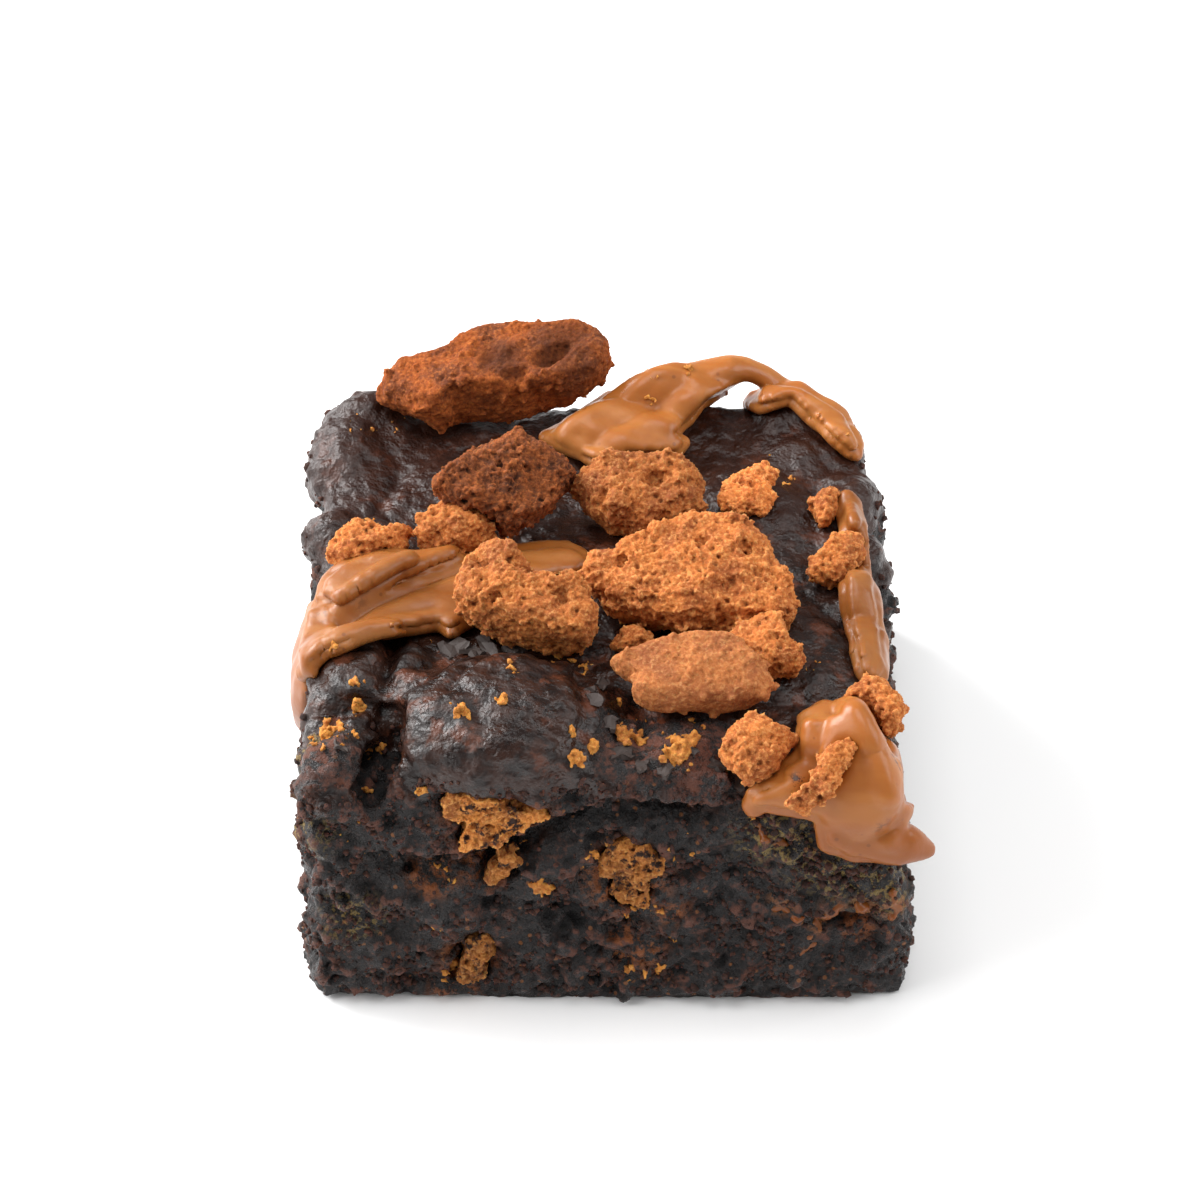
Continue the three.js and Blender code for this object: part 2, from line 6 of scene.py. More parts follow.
import bmesh
import bpy
import numpy as np
from bpy.props import FloatProperty, FloatVectorProperty, IntProperty, PointerProperty
from bpy.types import Operator, Panel, PropertyGroup
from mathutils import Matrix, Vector, noise
from mathutils.bvhtree import BVHTree


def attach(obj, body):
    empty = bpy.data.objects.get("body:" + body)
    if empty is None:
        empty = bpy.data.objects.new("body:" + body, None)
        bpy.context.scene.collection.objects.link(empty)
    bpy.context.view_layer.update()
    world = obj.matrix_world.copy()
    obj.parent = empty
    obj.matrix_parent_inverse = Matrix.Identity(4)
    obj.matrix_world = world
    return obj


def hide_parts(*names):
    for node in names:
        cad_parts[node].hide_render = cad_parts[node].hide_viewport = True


bl_info = {
    "name": "Chocolate brownie",
    "version": (1, 0, 0),
    "blender": (4, 5, 0),
    "location": "3D View > Sidebar > Brownie",
    "description": "Dresses a square of chocolate brownie with crust, crumb, spread and broken biscuit",
    "category": "Object",
}

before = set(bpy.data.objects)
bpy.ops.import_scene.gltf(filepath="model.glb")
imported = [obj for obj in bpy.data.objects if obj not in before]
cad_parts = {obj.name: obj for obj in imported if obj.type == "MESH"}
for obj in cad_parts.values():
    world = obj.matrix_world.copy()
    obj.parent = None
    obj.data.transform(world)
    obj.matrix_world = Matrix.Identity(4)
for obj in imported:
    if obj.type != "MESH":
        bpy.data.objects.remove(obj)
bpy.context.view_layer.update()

MM = 0.001
SQUARE_CM = 0.0001

SPREADS = ["spread_left", "spread_back", "spread_right", "spread_corner"]
INCLUSIONS = ["inclusion_upper", "inclusion_left", "inclusion_middle", "inclusion_low"]
BISCUITS = sorted(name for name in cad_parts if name.startswith("biscuit_"))

# The front cut, near which the tears and streaks below lie.
FRONT = -33

# Ledges in the front cut, along a path of (x, z) in millimetres: below it the cut falls back by a
# depth that fades over a reach.
LEDGES = [
    ([(-25, 24.5), (-19.6, 22.8), (-14, 23.8), (-8.4, 25.6), (-4, 29.4), (2, 31.6), (13, 31.8)], 3.0, 6),
    ([(-33, 16.8), (-28, 16.2), (-24, 13.4)], 1.5, 4),
    ([(-8, 14.6), (-3, 15.4), (3, 12.6)], 1.3, 4),
    ([(23, 15.4), (27, 14.6), (31, 13.6)], 1.6, 3.4),
    ([(8, 22), (14, 23), (19, 20.4)], 1.2, 4),
    ([(-22, 8.4), (-17, 9.6), (-12, 7)], 1.0, 3),
]

# Creases in the crust, along a path of (x, y) in millimetres, with their width and depth.
CREASES = [
    ([(-12.2, -17), (-15.2, -20.4), (-16.8, -24)], 0.6, 1.0),
    ([(-6, -17.6), (-5, -21), (-6.4, -26)], 0.8, 0.4),
    ([(-14, -27), (-10, -29.6), (-3, -30)], 0.9, 0.5),
    ([(-19, -22), (-14.5, -25.5), (-13, -29)], 0.8, 0.45),
    ([(-30, -15), (-25, -14.2), (-19, -15)], 0.7, 0.8),
    ([(-28, -19), (-23, -17.6), (-18.6, -18.4)], 0.6, 0.6),
    ([(3.4, -19), (5, -24), (3.4, -29)], 0.9, 0.9),
    ([(21, -9), (24, -13), (22.6, -19)], 0.7, 0.7),
    ([(18, -21), (23, -22), (27, -20)], 0.6, 0.6),
    ([(18, 19), (23, 15), (29, 16)], 0.8, 0.8),
    ([(12, 17), (17, 16), (21, 9)], 0.7, 0.5),
    ([(-27, 26), (-24, 18), (-27, 11)], 1.0, 0.7),
    ([(-23.5, -9), (-23.7, -14.6), (-24.3, -21.2), (-25.4, -27.6), (-25.8, -32.3)], 1.2, 2.4),
    ([(-33, -22.2), (-30.2, -22.8), (-26, -22.4)], 0.8, 1.2),
    ([(-22.3, -22.1), (-19.1, -20.5), (-14.7, -17.6), (-9, -16.3), (-2.3, -16.9)], 0.9, 0.5),
    ([(-2.2, -20), (-1, -25), (-2, -30)], 0.9, 0.9),
]

# Folds in the spread, as paths of (x, y) in millimetres with their width and depth. A negative depth
# makes a ridge.
SPREAD_FOLDS = {
    "spread_corner": [
        ([(27.2, -24.2), (28, -29), (30.5, -33.7), (32.9, -38.3)], 1.2, -1.1),
        ([(26, -25), (24.1, -29.8), (23.3, -35.2)], 1.3, 0.9),
        ([(30, -25), (31, -29), (33.5, -33)], 0.9, 0.7),
    ],
    "spread_left": [
        ([(-29.7, -8.5), (-23.1, -3.4), (-16.9, 1)], 0.9, -0.9),
        ([(-29.5, -10.6), (-22.6, -5.6), (-16, -1.2)], 1.0, 1.1),
        ([(-31, -14), (-25, -10), (-19, -8)], 0.8, 0.5),
    ],
    "spread_back": [
        ([(-4, 22), (2, 26), (9, 31)], 0.9, -0.6),
        ([(-1, 20), (4, 23.6), (10, 28)], 1.0, 0.6),
    ],
    "spread_right": [
        ([(29, 14), (30.5, 6), (30.8, -4)], 0.9, -0.5),
    ],
}

# Places where the crust has crumbled, as (x, y) and reach, and their height, in millimetres.
CRUMBLED_AT = 34
CRUMBLED = [((4, -28.5), 6), ((11, -29), 7), ((-30.5, -29), 5)]

# Flakes of crust that lie loose, as (x, y) and their length in millimetres.
FLAKES = [
    ((-16.6, -13), 3.4), ((-14.4, -14), 2.6), ((-12.6, -13.4), 3.0), ((-10.6, -14), 2.4),
    ((-8.8, -13), 2.6), ((-0.6, -23.6), 2.4), ((0.8, -26.4), 2.2), ((2.4, -29.4), 2.6),
    ((0.2, -21.2), 2.0), ((7, -31.4), 2.2), ((13, -30.8), 2.0), ((-28.6, -29.4), 2.2), ((4.6, -31), 1.8),
    ((10, -30), 1.6), ((15.4, -31.6), 1.8),
]

# Crumbs of biscuit that fell on the top, as (x, y), how far they spread, how many, and the largest, in
# millimetres.
FALLEN_CRUMBS = [
    ((3.5, -26.9), 1.4, 8, 2.1), ((7.9, -28.1), 2.0, 10, 2.1), ((8.2, -30.6), 1.0, 5, 1.8),
    ((2.2, -22.2), 0.8, 3, 1.2), ((11, -25), 1.6, 6, 0.9), ((5, -24.5), 1.8, 6, 0.8),
    ((-31.3, -25), 1.7, 11, 1.6), ((-28.3, -24.5), 1.2, 8, 1.4), ((-26.8, -21.6), 1.2, 5, 1.6),
    ((-30.1, -28), 2.2, 8, 1.1), ((-27.6, -26.6), 1.4, 4, 1.0), ((-2.5, -31.8), 0.8, 5, 1.3),
    ((-1, -30), 0.8, 5, 1.3), ((-2.8, -29.1), 0.6, 3, 1.3), ((-10.5, -26.7), 0.6, 4, 1.5),
    ((-15.3, -28.3), 0.8, 4, 1.3), ((-9, -21.5), 1.6, 6, 0.9), ((-0.8, -19.5), 0.4, 2, 1.2),
    ((-30.3, -16), 0.5, 3, 1.2), ((-20, -12.6), 1.2, 4, 0.9), ((-7.4, -12.1), 1.2, 4, 0.9),
    ((22.7, 15.8), 1.6, 8, 1.0), ((29, 22), 1.2, 5, 0.8), ((21, 23), 1.2, 4, 0.8),
    ((-30.6, 34), 1.8, 12, 1.3), ((-24.6, 27.3), 2.4, 8, 0.7), ((-18, 29.3), 3.0, 10, 0.8),
    ((-12.4, 30.3), 2.0, 6, 0.8), ((-29.3, 25.3), 2.0, 7, 0.8), ((-24.2, 7.2), 1.6, 8, 1.0),
    ((-26.6, 9), 1.8, 9, 0.8), ((-18.6, 16.8), 1.4, 5, 0.9), ((5, 33), 1.6, 5, 1.3),
    ((6.1, 27.4), 1.4, 4, 1.0), ((11.1, 29.6), 1.4, 4, 1.2), ((13, -14), 2.5, 8, 1.0),
    ((-3, -15.6), 2.5, 9, 1.1), ((16, -25), 1.5, 5, 0.9), ((24, -16), 2.0, 5, 0.7),
    ((20, 6), 2.0, 6, 0.9),
]

# Crumbs of biscuit in the front cut, as (x, z), how far they spread, how many, and the largest, in
# millimetres.
CUT_CRUMBS = [
    ((-6.8, 19.5), 0.5, 4, 1.7), ((0.2, 22), 1.4, 7, 1.4), ((4.8, 22.8), 1.6, 8, 1.4),
    ((6.6, 15.6), 1.4, 6, 1.1), ((3, 16.2), 1.2, 6, 1.2), ((-1.6, 23.6), 1.4, 7, 1.1),
    ((4.6, 6.4), 2.8, 14, 0.9), ((-19, 21), 3.0, 14, 1.0), ((-13.2, 9.4), 1.8, 9, 1.1),
    ((-16.6, 3.6), 2.0, 10, 1.2), ((-9.6, 22.4), 1.4, 7, 1.2), ((-24.5, 23), 2.4, 6, 0.8),
    ((-25.6, 31.4), 1.4, 5, 1.1), ((-19.4, 33.4), 1.0, 4, 1.2), ((8.4, 11), 2.2, 8, 0.8),
    ((-27, 27), 2.5, 5, 0.7), ((-10.6, 25), 1.6, 6, 1.1), ((9, 25), 2.0, 6, 0.8), ((16, 30), 2.0, 6, 0.9),
    ((-20, 12), 2.5, 6, 0.7),
]

# Streaks of spread in the front cut, as paths of (x, z) and their thickness in millimetres.
STREAKS = [
    ([(23.4, 7.4), (24.4, 11.6), (26, 15)], 0.9),
    ([(24.8, 13.4), (26.8, 16), (29.2, 15.6), (30.6, 14.2)], 1.5),
    ([(19.4, 15.6), (21.2, 15.4), (22.4, 14.2)], 1.7),
    ([(33, 17.6), (33.6, 15.6), (33.2, 13.4)], 1.4),
    ([(17.4, 28.4), (19, 26.4), (21, 25.4)], 1.1),
]

# Places in the front cut that biscuit has tinted, as (x, z) and reach in millimetres.
STAINS = [
    ((-11.5, 29), 8), ((-13, 21.5), 4.5), ((-19, 20), 4), ((3, 20), 7), ((4, 9), 5), ((-15, 7), 5),
    ((-17, 1), 4), ((8, 15), 3), ((29.5, 11.5), 3),
]

# Places in the spread that hold crumbs of cake: middle and reach in millimetres.
SPREAD_SMUDGES = [
    ((32.5, -31.5, 37), 2.2), ((31.6, -37.6, 31), 2.4), ((34.5, -36.5, 29), 1.8),
    ((21.5, -34.4, 36.5), 1.8), ((-28, -7, 38), 2.0), ((-31.5, -9, 37), 1.6),
]

# Places in the front cut that spread has smeared, as (x, z) and reach in millimetres.
SMEARED = [
    ((20.8, 16.2), 2.6), ((26.5, 15.4), 2.8), ((30, 15.8), 3), ((33, 15.4), 3), ((25, 12.4), 2),
    ((24.2, 9), 1.8),
]

# Places in the crust where baked biscuit shows: middle and reach in millimetres.
TOASTED = [((-10.6, -21.9, 37), 2.6), ((-7.4, -21.2, 38), 3.0), ((-5.2, -20.6, 38), 2.4), ((5, -26, 34), 5)]

# Places of the long back biscuit that are painted darker, as painted shade where it has a dark hollow:
# middle and reach in millimetres.
BACK_BISCUIT_SHADE_SPOTS = [((-4.5, 31, 44), 6.5), ((-12, 29, 45), 4)]

# How light each piece is beside the plain finish.
TONES = {
    "biscuit_front": 0.8, "biscuit_middle": 0.86, "biscuit_pitted": 0.76, "biscuit_chip": 1.3,
    "biscuit_nub": 0.9, "spread_streaks": 0.6,
    "inclusion_upper": 1.25, "inclusion_left": 0.9, "inclusion_middle": 0.85, "inclusion_low": 0.75,
    "spread_left": 0.62, "spread_back": 0.84, "spread_right": 0.62, "spread_corner": 0.86,
}

# Places in the crumb that the spread's oil has tinted: middle and reach in millimetres.
OILY_PATCHES = [
    ((20, -34, 27), 7), ((27, -34, 23), 8), ((33, -33, 19), 7), ((-33.5, -24, 33), 7),
    ((-33.5, -30, 26), 6), ((-28, -34, 14), 5), ((33, -10, 31), 8),
]


# How coarse a node is divided before its lumps are added, beside its final facets.
COARSE = 1.4

# How far relief stands out on biscuit that has a smoother face, beside 1 for broken faces.
FLATTER = {"biscuit_front": 0.35, "biscuit_back": 0.45}

# Rounds in which a smear of spread is evened out after it is divided.
SPREAD_ROUNDS = 10

# How far above and in front of the brownie loose crumbs start to fall towards it, in metres.
ABOVE, IN_FRONT = 0.08, -0.06

# The largest angle in a random turn, in radians, and how far flakes tip about X and Y.
WHOLE_TURN = 6.28
FLAKE_TIPS = (0.5, 0.4)

# The soft lights: name, place in metres, width and height in metres, and power in watts.
LIGHTS = [
    ("window", (-0.42, 0.26, 0.32), 0.34, 5.4),
    ("left softbox", (-0.42, -0.1, 0.3), 0.35, 1.7),
    ("right softbox", (0.42, -0.04, 0.3), 0.35, 1.5),
    ("overhead softbox", (0.0, -0.02, 0.56), 0.3, 1.3),
]
LIT_POINT = (0, 0, 0.03)
FLOOR_REACH = 3.0


def srgb(red, green, blue):
    """A screen colour, 0 to 255 a channel, as the linear colour that a shader wants."""
    return tuple(
        (c / 255 / 12.92) if c < 11 else ((c / 255 + 0.055) / 1.055) ** 2.4 for c in (red, green, blue)
    )


# Shades of the cake beside its main colours. Far crust and deep spread are painted shade.
SHADES = {
    "dusty crumb": srgb(82, 58, 48), "biscuit speck": srgb(148, 92, 50), "biscuit stain": srgb(132, 72, 30),
    "oily crumb": srgb(142, 118, 66), "smeared spread": srgb(150, 98, 62), "ruddy crumb": srgb(106, 62, 46),
    "warm crust": srgb(98, 54, 36), "far crust": srgb(46, 23, 15), "toasted crust": srgb(138, 74, 44),
    "deep spread": srgb(120, 58, 20), "low spread": srgb(144, 74, 16), "smudge": srgb(62, 30, 16),
    "spread fleck": srgb(112, 58, 26), "crumb on biscuit": srgb(48, 30, 22),
}

# The light, middle and dark shade of each kind of biscuit that isn't plain. The finish also uses the light
# one as painted light on raised grains and a fainter dark one as painted shade in hollows.
BISCUIT_SHADES = {
    "Biscuit in crumb": (srgb(226, 166, 92), srgb(182, 112, 50), srgb(112, 58, 22)),
    "Dark biscuit": (srgb(182, 104, 52), srgb(122, 64, 28), srgb(56, 26, 12)),
    "Brown biscuit": (srgb(196, 112, 50), srgb(148, 74, 26), srgb(84, 38, 12)),
    "Biscuit skin": (srgb(228, 164, 102), srgb(196, 118, 64), srgb(148, 78, 36)),
    "Loose cake crumb": (srgb(110, 68, 54), srgb(66, 42, 35), srgb(30, 21, 19)),
    "Loose biscuit crumb": (srgb(230, 172, 90), srgb(200, 130, 56), srgb(146, 82, 30)),
}


def length(label, about, value):
    return FloatProperty(name=label, description=about, default=value, unit="LENGTH", precision=5)


def colour(label, about, *rgb):
    return FloatVectorProperty(
        name=label, description=about, default=srgb(*rgb), size=3, subtype="COLOR", min=0, max=1
    )


class CakeSizes(PropertyGroup):
    facet: length("Facet", "Edge of the facets that the cake is made of", 0.5 * MM)
    clump: length("Clump", "Across the largest clump of crumb on a cut face", 2.8 * MM)
    clump_density: FloatProperty(
        name="Clumps", description="Clumps of crumb on a square centimetre of cut face", default=60, min=0
    )
    grit: length("Grit", "Across the finer lumps of a cut face", 2.0 * MM)
    grit_depth: length("Grit depth", "How far the finer lumps stand out", 0.7 * MM)
    pit: length("Pit", "Between one pit of a cut face and the next", 4.2 * MM)
    pit_depth: length("Pit depth", "How deep the pits of a cut face are", 1.2 * MM)
    fold: length("Fold", "Across one fold of the crust", 5.5 * MM)
    fold_depth: length("Fold depth", "How far the folds of the crust rise and fall", 0.45 * MM)
    bubble: length("Bubble", "Across one small bump of the crust", 2.1 * MM)
    bubble_depth: length("Bubble depth", "How far the small bumps of the crust stand out", 0.5 * MM)
    crust_edge: length("Crust edge", "Height at which the crust ends on a cut face", 32.2 * MM)


class BiscuitSizes(PropertyGroup):
    facet: length("Facet", "Edge of the facets that the biscuit is made of", 0.2 * MM)
    clump: length("Clump", "Across the largest clump of grains", 1.4 * MM)
    clump_density: FloatProperty(
        name="Clumps", description="Clumps of grains on a square centimetre of biscuit", default=80, min=0
    )
    grain: length("Grain", "Across one grain", 1.0 * MM)
    grain_depth: length("Grain depth", "How far grains stand out", 0.46 * MM)
    crag: length("Crag", "Across one crag of a broken face", 2.8 * MM)
    crag_depth: length("Crag depth", "How far crags stand out", 1.2 * MM)
    pore: length("Pore", "Between one pore and the next", 1.9 * MM)
    pore_depth: length("Pore depth", "How deep the pores are", 1.2 * MM)
    swell: length("Swell", "How far a piece grows to meet what it lies on", 0.25 * MM)


class SpreadSizes(PropertyGroup):
    facet: length("Facet", "Edge of the facets that the spread is made of", 0.35 * MM)
    ripple: length("Ripple", "Across one ripple of the spread", 7.5 * MM)
    ripple_depth: length("Ripple depth", "How far ripples rise and fall", 0.6 * MM)
    swell: length("Swell", "How far the spread grows to meet what it lies on", 0.4 * MM)
    streak_facet: length("Streak facet", "Edge of the facets that the streaks are made of", 0.25 * MM)


class CrumbSizes(PropertyGroup):
    seed: IntProperty(name="Seed", description="Chooses where loose crumbs fall", default=7, min=0)
    facet: length("Facet", "Edge of the facets that fallen crumbs are made of", 0.17 * MM)
    grain: length("Grain", "Across one grain of a fallen crumb", 0.6 * MM)
    grain_depth: length("Grain depth", "How far the grains of a fallen crumb stand out", 0.14 * MM)
    flake_lift: length("Flake lift", "How far a flake's middle lies above the crust", 0.2 * MM)
    wall_crumb: length("Wall crumb", "Across the largest loose crumb on a cut face", 1.1 * MM)
    wall_density: FloatProperty(
        name="Wall crumbs", description="Loose crumbs on a square centimetre of cut face", default=160, min=0
    )


class FoodColours(PropertyGroup):
    crumb: colour("Crumb", "The moist dark crumb", 33, 30, 30)
    # The light crumb is the drier clumps' own colour, and partly painted light where the crumb is raised.
    crumb_light: colour("Light crumb", "Dry raised clumps of the crumb", 92, 56, 44)
    crust: colour("Crust", "The satin crust", 48, 27, 19)
    # The dark crust is the crust's own darker patches; a fainter copy of it is painted shade in the hollows.
    crust_dark: colour("Dark crust", "Hollows of the crust", 23, 12, 9)
    biscuit: colour("Biscuit", "Baked biscuit", 196, 114, 54)
    # The light biscuit is the sandy grains' own colour, and is also painted light on raised grains.
    biscuit_light: colour("Light biscuit", "Sandy grains of the biscuit", 232, 168, 100)
    # The dark biscuit is the colour of toasted parts and dark grains; a fainter copy is painted shade in
    # pores and hollows and at given spots of the back biscuit.
    biscuit_dark: colour("Dark biscuit", "Pores and toasted parts of the biscuit", 140, 68, 24)
    spread: colour("Spread", "Caramel-coloured biscuit spread", 170, 100, 42)
    spread_light: colour("Light spread", "Thin pale parts of the spread", 194, 126, 64)


class StageSettings(PropertyGroup):
    tilt: FloatProperty(
        name="View angle", description="How far above the horizon the camera looks from",
        default=math.radians(42), subtype="ANGLE",
    )
    distance: length("Distance", "From the camera to the middle of the brownie", 398 * MM)
    target: length("Target height", "Height of the point that the camera looks at", 32.1 * MM)
    lens: FloatProperty(
        name="Lens", description="Focal length in millimetres on a 36 mm sensor", default=101.6
    )
    room: FloatProperty(name="Room light", description="Brightness of the white room", default=0.38, min=0)
    floor: colour("Floor", "The pale floor", 246, 246, 246)


# Node trees


def plug(sockets, key):
    """The socket with that index, or the one in use with that name."""
    if isinstance(key, int):
        return sockets[key]
    return next(one for one in sockets if one.name == key and one.enabled)


def put(tree, kind, inputs=None, **settings):
    """A new node of that kind, with its settings, and its inputs set to values or linked to outputs."""
    node = tree.nodes.new(kind)
    for name, value in settings.items():
        setattr(node, name, value)
    for key, value in (inputs or {}).items():
        if isinstance(value, bpy.types.NodeSocket):
            tree.links.new(value, plug(node.inputs, key))
        else:
            plug(node.inputs, key).default_value = value
    return node


def calc(tree, operation, *values):
    return put(tree, "ShaderNodeMath", dict(enumerate(values)), operation=operation).outputs[0]


def add(tree, *values):
    total = values[0]
    for value in values[1:]:
        total = calc(tree, "ADD", total, value)
    return total


def times(tree, first, second):
    return calc(tree, "MULTIPLY", first, second)


def minus(tree, first, second):
    return calc(tree, "SUBTRACT", first, second)


def ease(tree, value, low, high, to_low=0.0, to_high=1.0):
    """value, smoothly mapped from low..high to to_low..to_high."""
    inputs = {"Value": value, "From Min": low, "From Max": high, "To Min": to_low, "To Max": to_high}
    return put(tree, "ShaderNodeMapRange", inputs, interpolation_type="SMOOTHSTEP").outputs[0]


def over(tree, wavelength):
    if isinstance(wavelength, bpy.types.NodeSocket):
        return calc(tree, "DIVIDE", 1.0, wavelength)
    return 1.0 / wavelength


def clouds(tree, place, wavelength, detail=2.0, roughness=0.5, distortion=0.0, output="Fac"):
    """Soft noise, 0 to 1, with features that far apart in metres."""
    inputs = {"Vector": place, "Scale": over(tree, wavelength), "Detail": detail}
    inputs.update({"Roughness": roughness, "Distortion": distortion})
    return put(tree, "ShaderNodeTexNoise", inputs).outputs[output]


def cells(tree, place, wavelength, feature="F1"):
    """Rounded cells that far apart in metres: the node, whose outputs are Distance and Color."""
    inputs = {"Vector": place, "Scale": over(tree, wavelength)}
    return put(tree, "ShaderNodeTexVoronoi", inputs, feature=feature)


def vector(tree, operation, first, second):
    return put(tree, "ShaderNodeVectorMath", {0: first, 1: second}, operation=operation).outputs[0]


def scaled(tree, first, factor):
    return put(tree, "ShaderNodeVectorMath", {0: first, "Scale": factor}, operation="SCALE").outputs[0]


def warped(tree, place, wavelength, reach):
    """place, pushed about by soft noise, so that a texture there loses its regular shape."""
    push = vector(tree, "SUBTRACT", clouds(tree, place, wavelength, output="Color"), (0.5, 0.5, 0.5))
    return vector(tree, "ADD", place, scaled(tree, push, 2 * reach))


def stretched(tree, place, turn, factors):
    """place, turned about Z and then scaled, so that a texture there runs along one way."""
    turned = put(
        tree, "ShaderNodeVectorRotate", {"Vector": place, "Angle": turn}, rotation_type="Z_AXIS"
    ).outputs[0]
    return vector(tree, "MULTIPLY", turned, factors)


def named(tree, name):
    return put(tree, "GeometryNodeInputNamedAttribute", {"Name": name}, data_type="FLOAT").outputs[0]


def store(tree, mesh, name, value):
    inputs = {"Geometry": mesh, "Name": name, "Value": value}
    return put(tree, "GeometryNodeStoreNamedAttribute", inputs, data_type="FLOAT", domain="POINT").outputs[0]


def position(tree):
    return put(tree, "GeometryNodeInputPosition").outputs[0]


def along(tree, place, axis):
    """One coordinate of place."""
    return put(tree, "ShaderNodeSeparateXYZ", {0: place}).outputs[axis]


def pushed(tree, mesh, rise, level=None):
    """mesh, with each point moved along its normal by rise."""
    offset = scaled(tree, put(tree, "GeometryNodeInputNormal").outputs[0], rise)
    if level is not None:
        offset = vector(tree, "MULTIPLY", offset, level)
    return put(tree, "GeometryNodeSetPosition", {"Geometry": mesh, "Offset": offset}).outputs[0]


def with_hollows(tree, mesh, rounds, depth):
    """mesh, which stores as hollow how deep each point lies below its surroundings, -1 to 1. The finishes
    paint shade in hollows and light on raised parts from it.
    """
    place = position(tree)
    around = put(
        tree, "GeometryNodeBlurAttribute", {"Value": place, "Iterations": rounds}, data_type="FLOAT_VECTOR"
    ).outputs[0]
    normal = put(tree, "GeometryNodeInputNormal").outputs[0]
    away = vector(tree, "SUBTRACT", around, place)
    inward = put(
        tree, "ShaderNodeVectorMath", {0: away, 1: normal}, operation="DOT_PRODUCT"
    ).outputs["Value"]
    return store(tree, mesh, "hollow", calc(tree, "DIVIDE", inward, depth))


def shape_tree(name, sizes):
    """A geometry tree with a Geometry input and output, and a named number input for each of its sizes."""
    tree = bpy.data.node_groups.new(name, "GeometryNodeTree")
    tree.interface.new_socket("Geometry", in_out="INPUT", socket_type="NodeSocketGeometry")
    for label in sizes:
        tree.interface.new_socket(label, in_out="INPUT", socket_type="NodeSocketFloat")
    tree.interface.new_socket("Geometry", in_out="OUTPUT", socket_type="NodeSocketGeometry")
    return tree, put(tree, "NodeGroupInput").outputs


def finish_tree(tree, geometry, material):
    real = put(tree, "GeometryNodeRealizeInstances", {"Geometry": geometry}).outputs[0]
    painted = put(tree, "GeometryNodeSetMaterial", {"Geometry": real, "Material": material}).outputs[0]
    put(tree, "NodeGroupOutput", {"Geometry": painted})
    return tree


def joined(tree, *parts):
    node = put(tree, "GeometryNodeJoinGeometry")
    for part in parts:
        tree.links.new(part, node.inputs[0])
    return node.outputs[0]


def between(tree, low, high, kind="FLOAT"):
    node = put(tree, "FunctionNodeRandomValue", {"Min": low, "Max": high}, data_type=kind)
    return plug(node.outputs, "Value")


def shapes_of(tree, bodies, wavelength, reach):
    """Instances of bodies, each with its points pushed by its own soft noise, as far as reach says."""
    kinds = put(tree, "GeometryNodeGeometryToInstance")
    for body, shift in bodies:
        there = vector(tree, "ADD", position(tree), (shift, shift, shift))
        wild = clouds(tree, there, wavelength, 1.0, output="Color")
        push = vector(tree, "MULTIPLY", vector(tree, "SUBTRACT", wild, (0.5, 0.5, 0.5)), reach)
        rough = put(tree, "GeometryNodeSetPosition", {"Geometry": body, "Offset": push}).outputs[0]
        tree.links.new(rough, kinds.inputs[0])
    return kinds.outputs[0]


def lump_shapes(tree, faces):
    """Instances of four rough lumps, about 1 across, whose faces are split that many times."""
    inputs = {"Radius": 0.5, "Subdivisions": faces}
    balls = [
        (put(tree, "GeometryNodeMeshIcoSphere", inputs).outputs[0], shift) for shift in (0.0, 3.7, 9.1, 14.3)
    ]
    return shapes_of(tree, balls, 0.45, (0.8, 0.8, 0.8))


def flake_shapes(tree):
    """Instances of three thin plates with a ragged outline, about 1 long."""
    inputs = {"Size": (1.0, 0.65, 0.18), "Vertices X": 5, "Vertices Y": 4, "Vertices Z": 2}
    plates = [(put(tree, "GeometryNodeMeshCube", inputs).outputs[0], shift) for shift in (0.0, 3.7, 9.1)]
    return shapes_of(tree, plates, 0.4, (0.9, 0.9, 0.5))


def placed(tree, points, shapes, turn, size):
    """Shapes on points, one picked at random for each."""
    inputs = {"Points": points, "Instance": shapes, "Pick Instance": True, "Rotation": turn, "Scale": size}
    return put(tree, "GeometryNodeInstanceOnPoints", inputs).outputs[0]


def lumps_on(tree, points, across, faces=1):
    """Rough lumps of several shapes on points, turned and stretched at random."""
    turn = between(tree, (0, 0, 0), (WHOLE_TURN, WHOLE_TURN, WHOLE_TURN), "FLOAT_VECTOR")
    stretch = between(tree, (0.75, 0.75, 0.75), (1.3, 1.3, 1.3), "FLOAT_VECTOR")
    return placed(tree, points, lump_shapes(tree, faces), turn, scaled(tree, stretch, across))


def flake_tree(material):
    """Thin plates on the points of a mesh, nearly level, each as long as its across attribute says."""
    tree, sizes = shape_tree("Flakes", [])
    over_x, over_y = FLAKE_TIPS
    turn = between(tree, (-over_x, -over_y, 0), (over_x, over_y, WHOLE_TURN), "FLOAT_VECTOR")
    size = scaled(tree, (1.0, 1.0, 1.0), named(tree, "across"))
    return finish_tree(tree, placed(tree, sizes["Geometry"], flake_shapes(tree), turn, size), material)


def lumpy_tree(name, material, alone=False):
    """Lumps on the faces of a mesh, as dense as its share attribute says, with the mesh unless alone."""
    tree, sizes = shape_tree(name, ["Density", "Smallest", "Largest", "Seed"])
    spots = put(
        tree, "GeometryNodeDistributePointsOnFaces",
        {"Mesh": sizes["Geometry"], "Density": times(tree, sizes["Density"], named(tree, "share")),
         "Seed": sizes["Seed"]},
        distribute_method="RANDOM",
    ).outputs["Points"]
    span = minus(tree, sizes["Largest"], sizes["Smallest"])
    rarely_large = calc(tree, "POWER", between(tree, 0.0, 1.0), 2.2)
    across = add(tree, sizes["Smallest"], times(tree, rarely_large, span))
    lumps = lumps_on(tree, spots, across)
    return finish_tree(tree, lumps if alone else joined(tree, sizes["Geometry"], lumps), material)


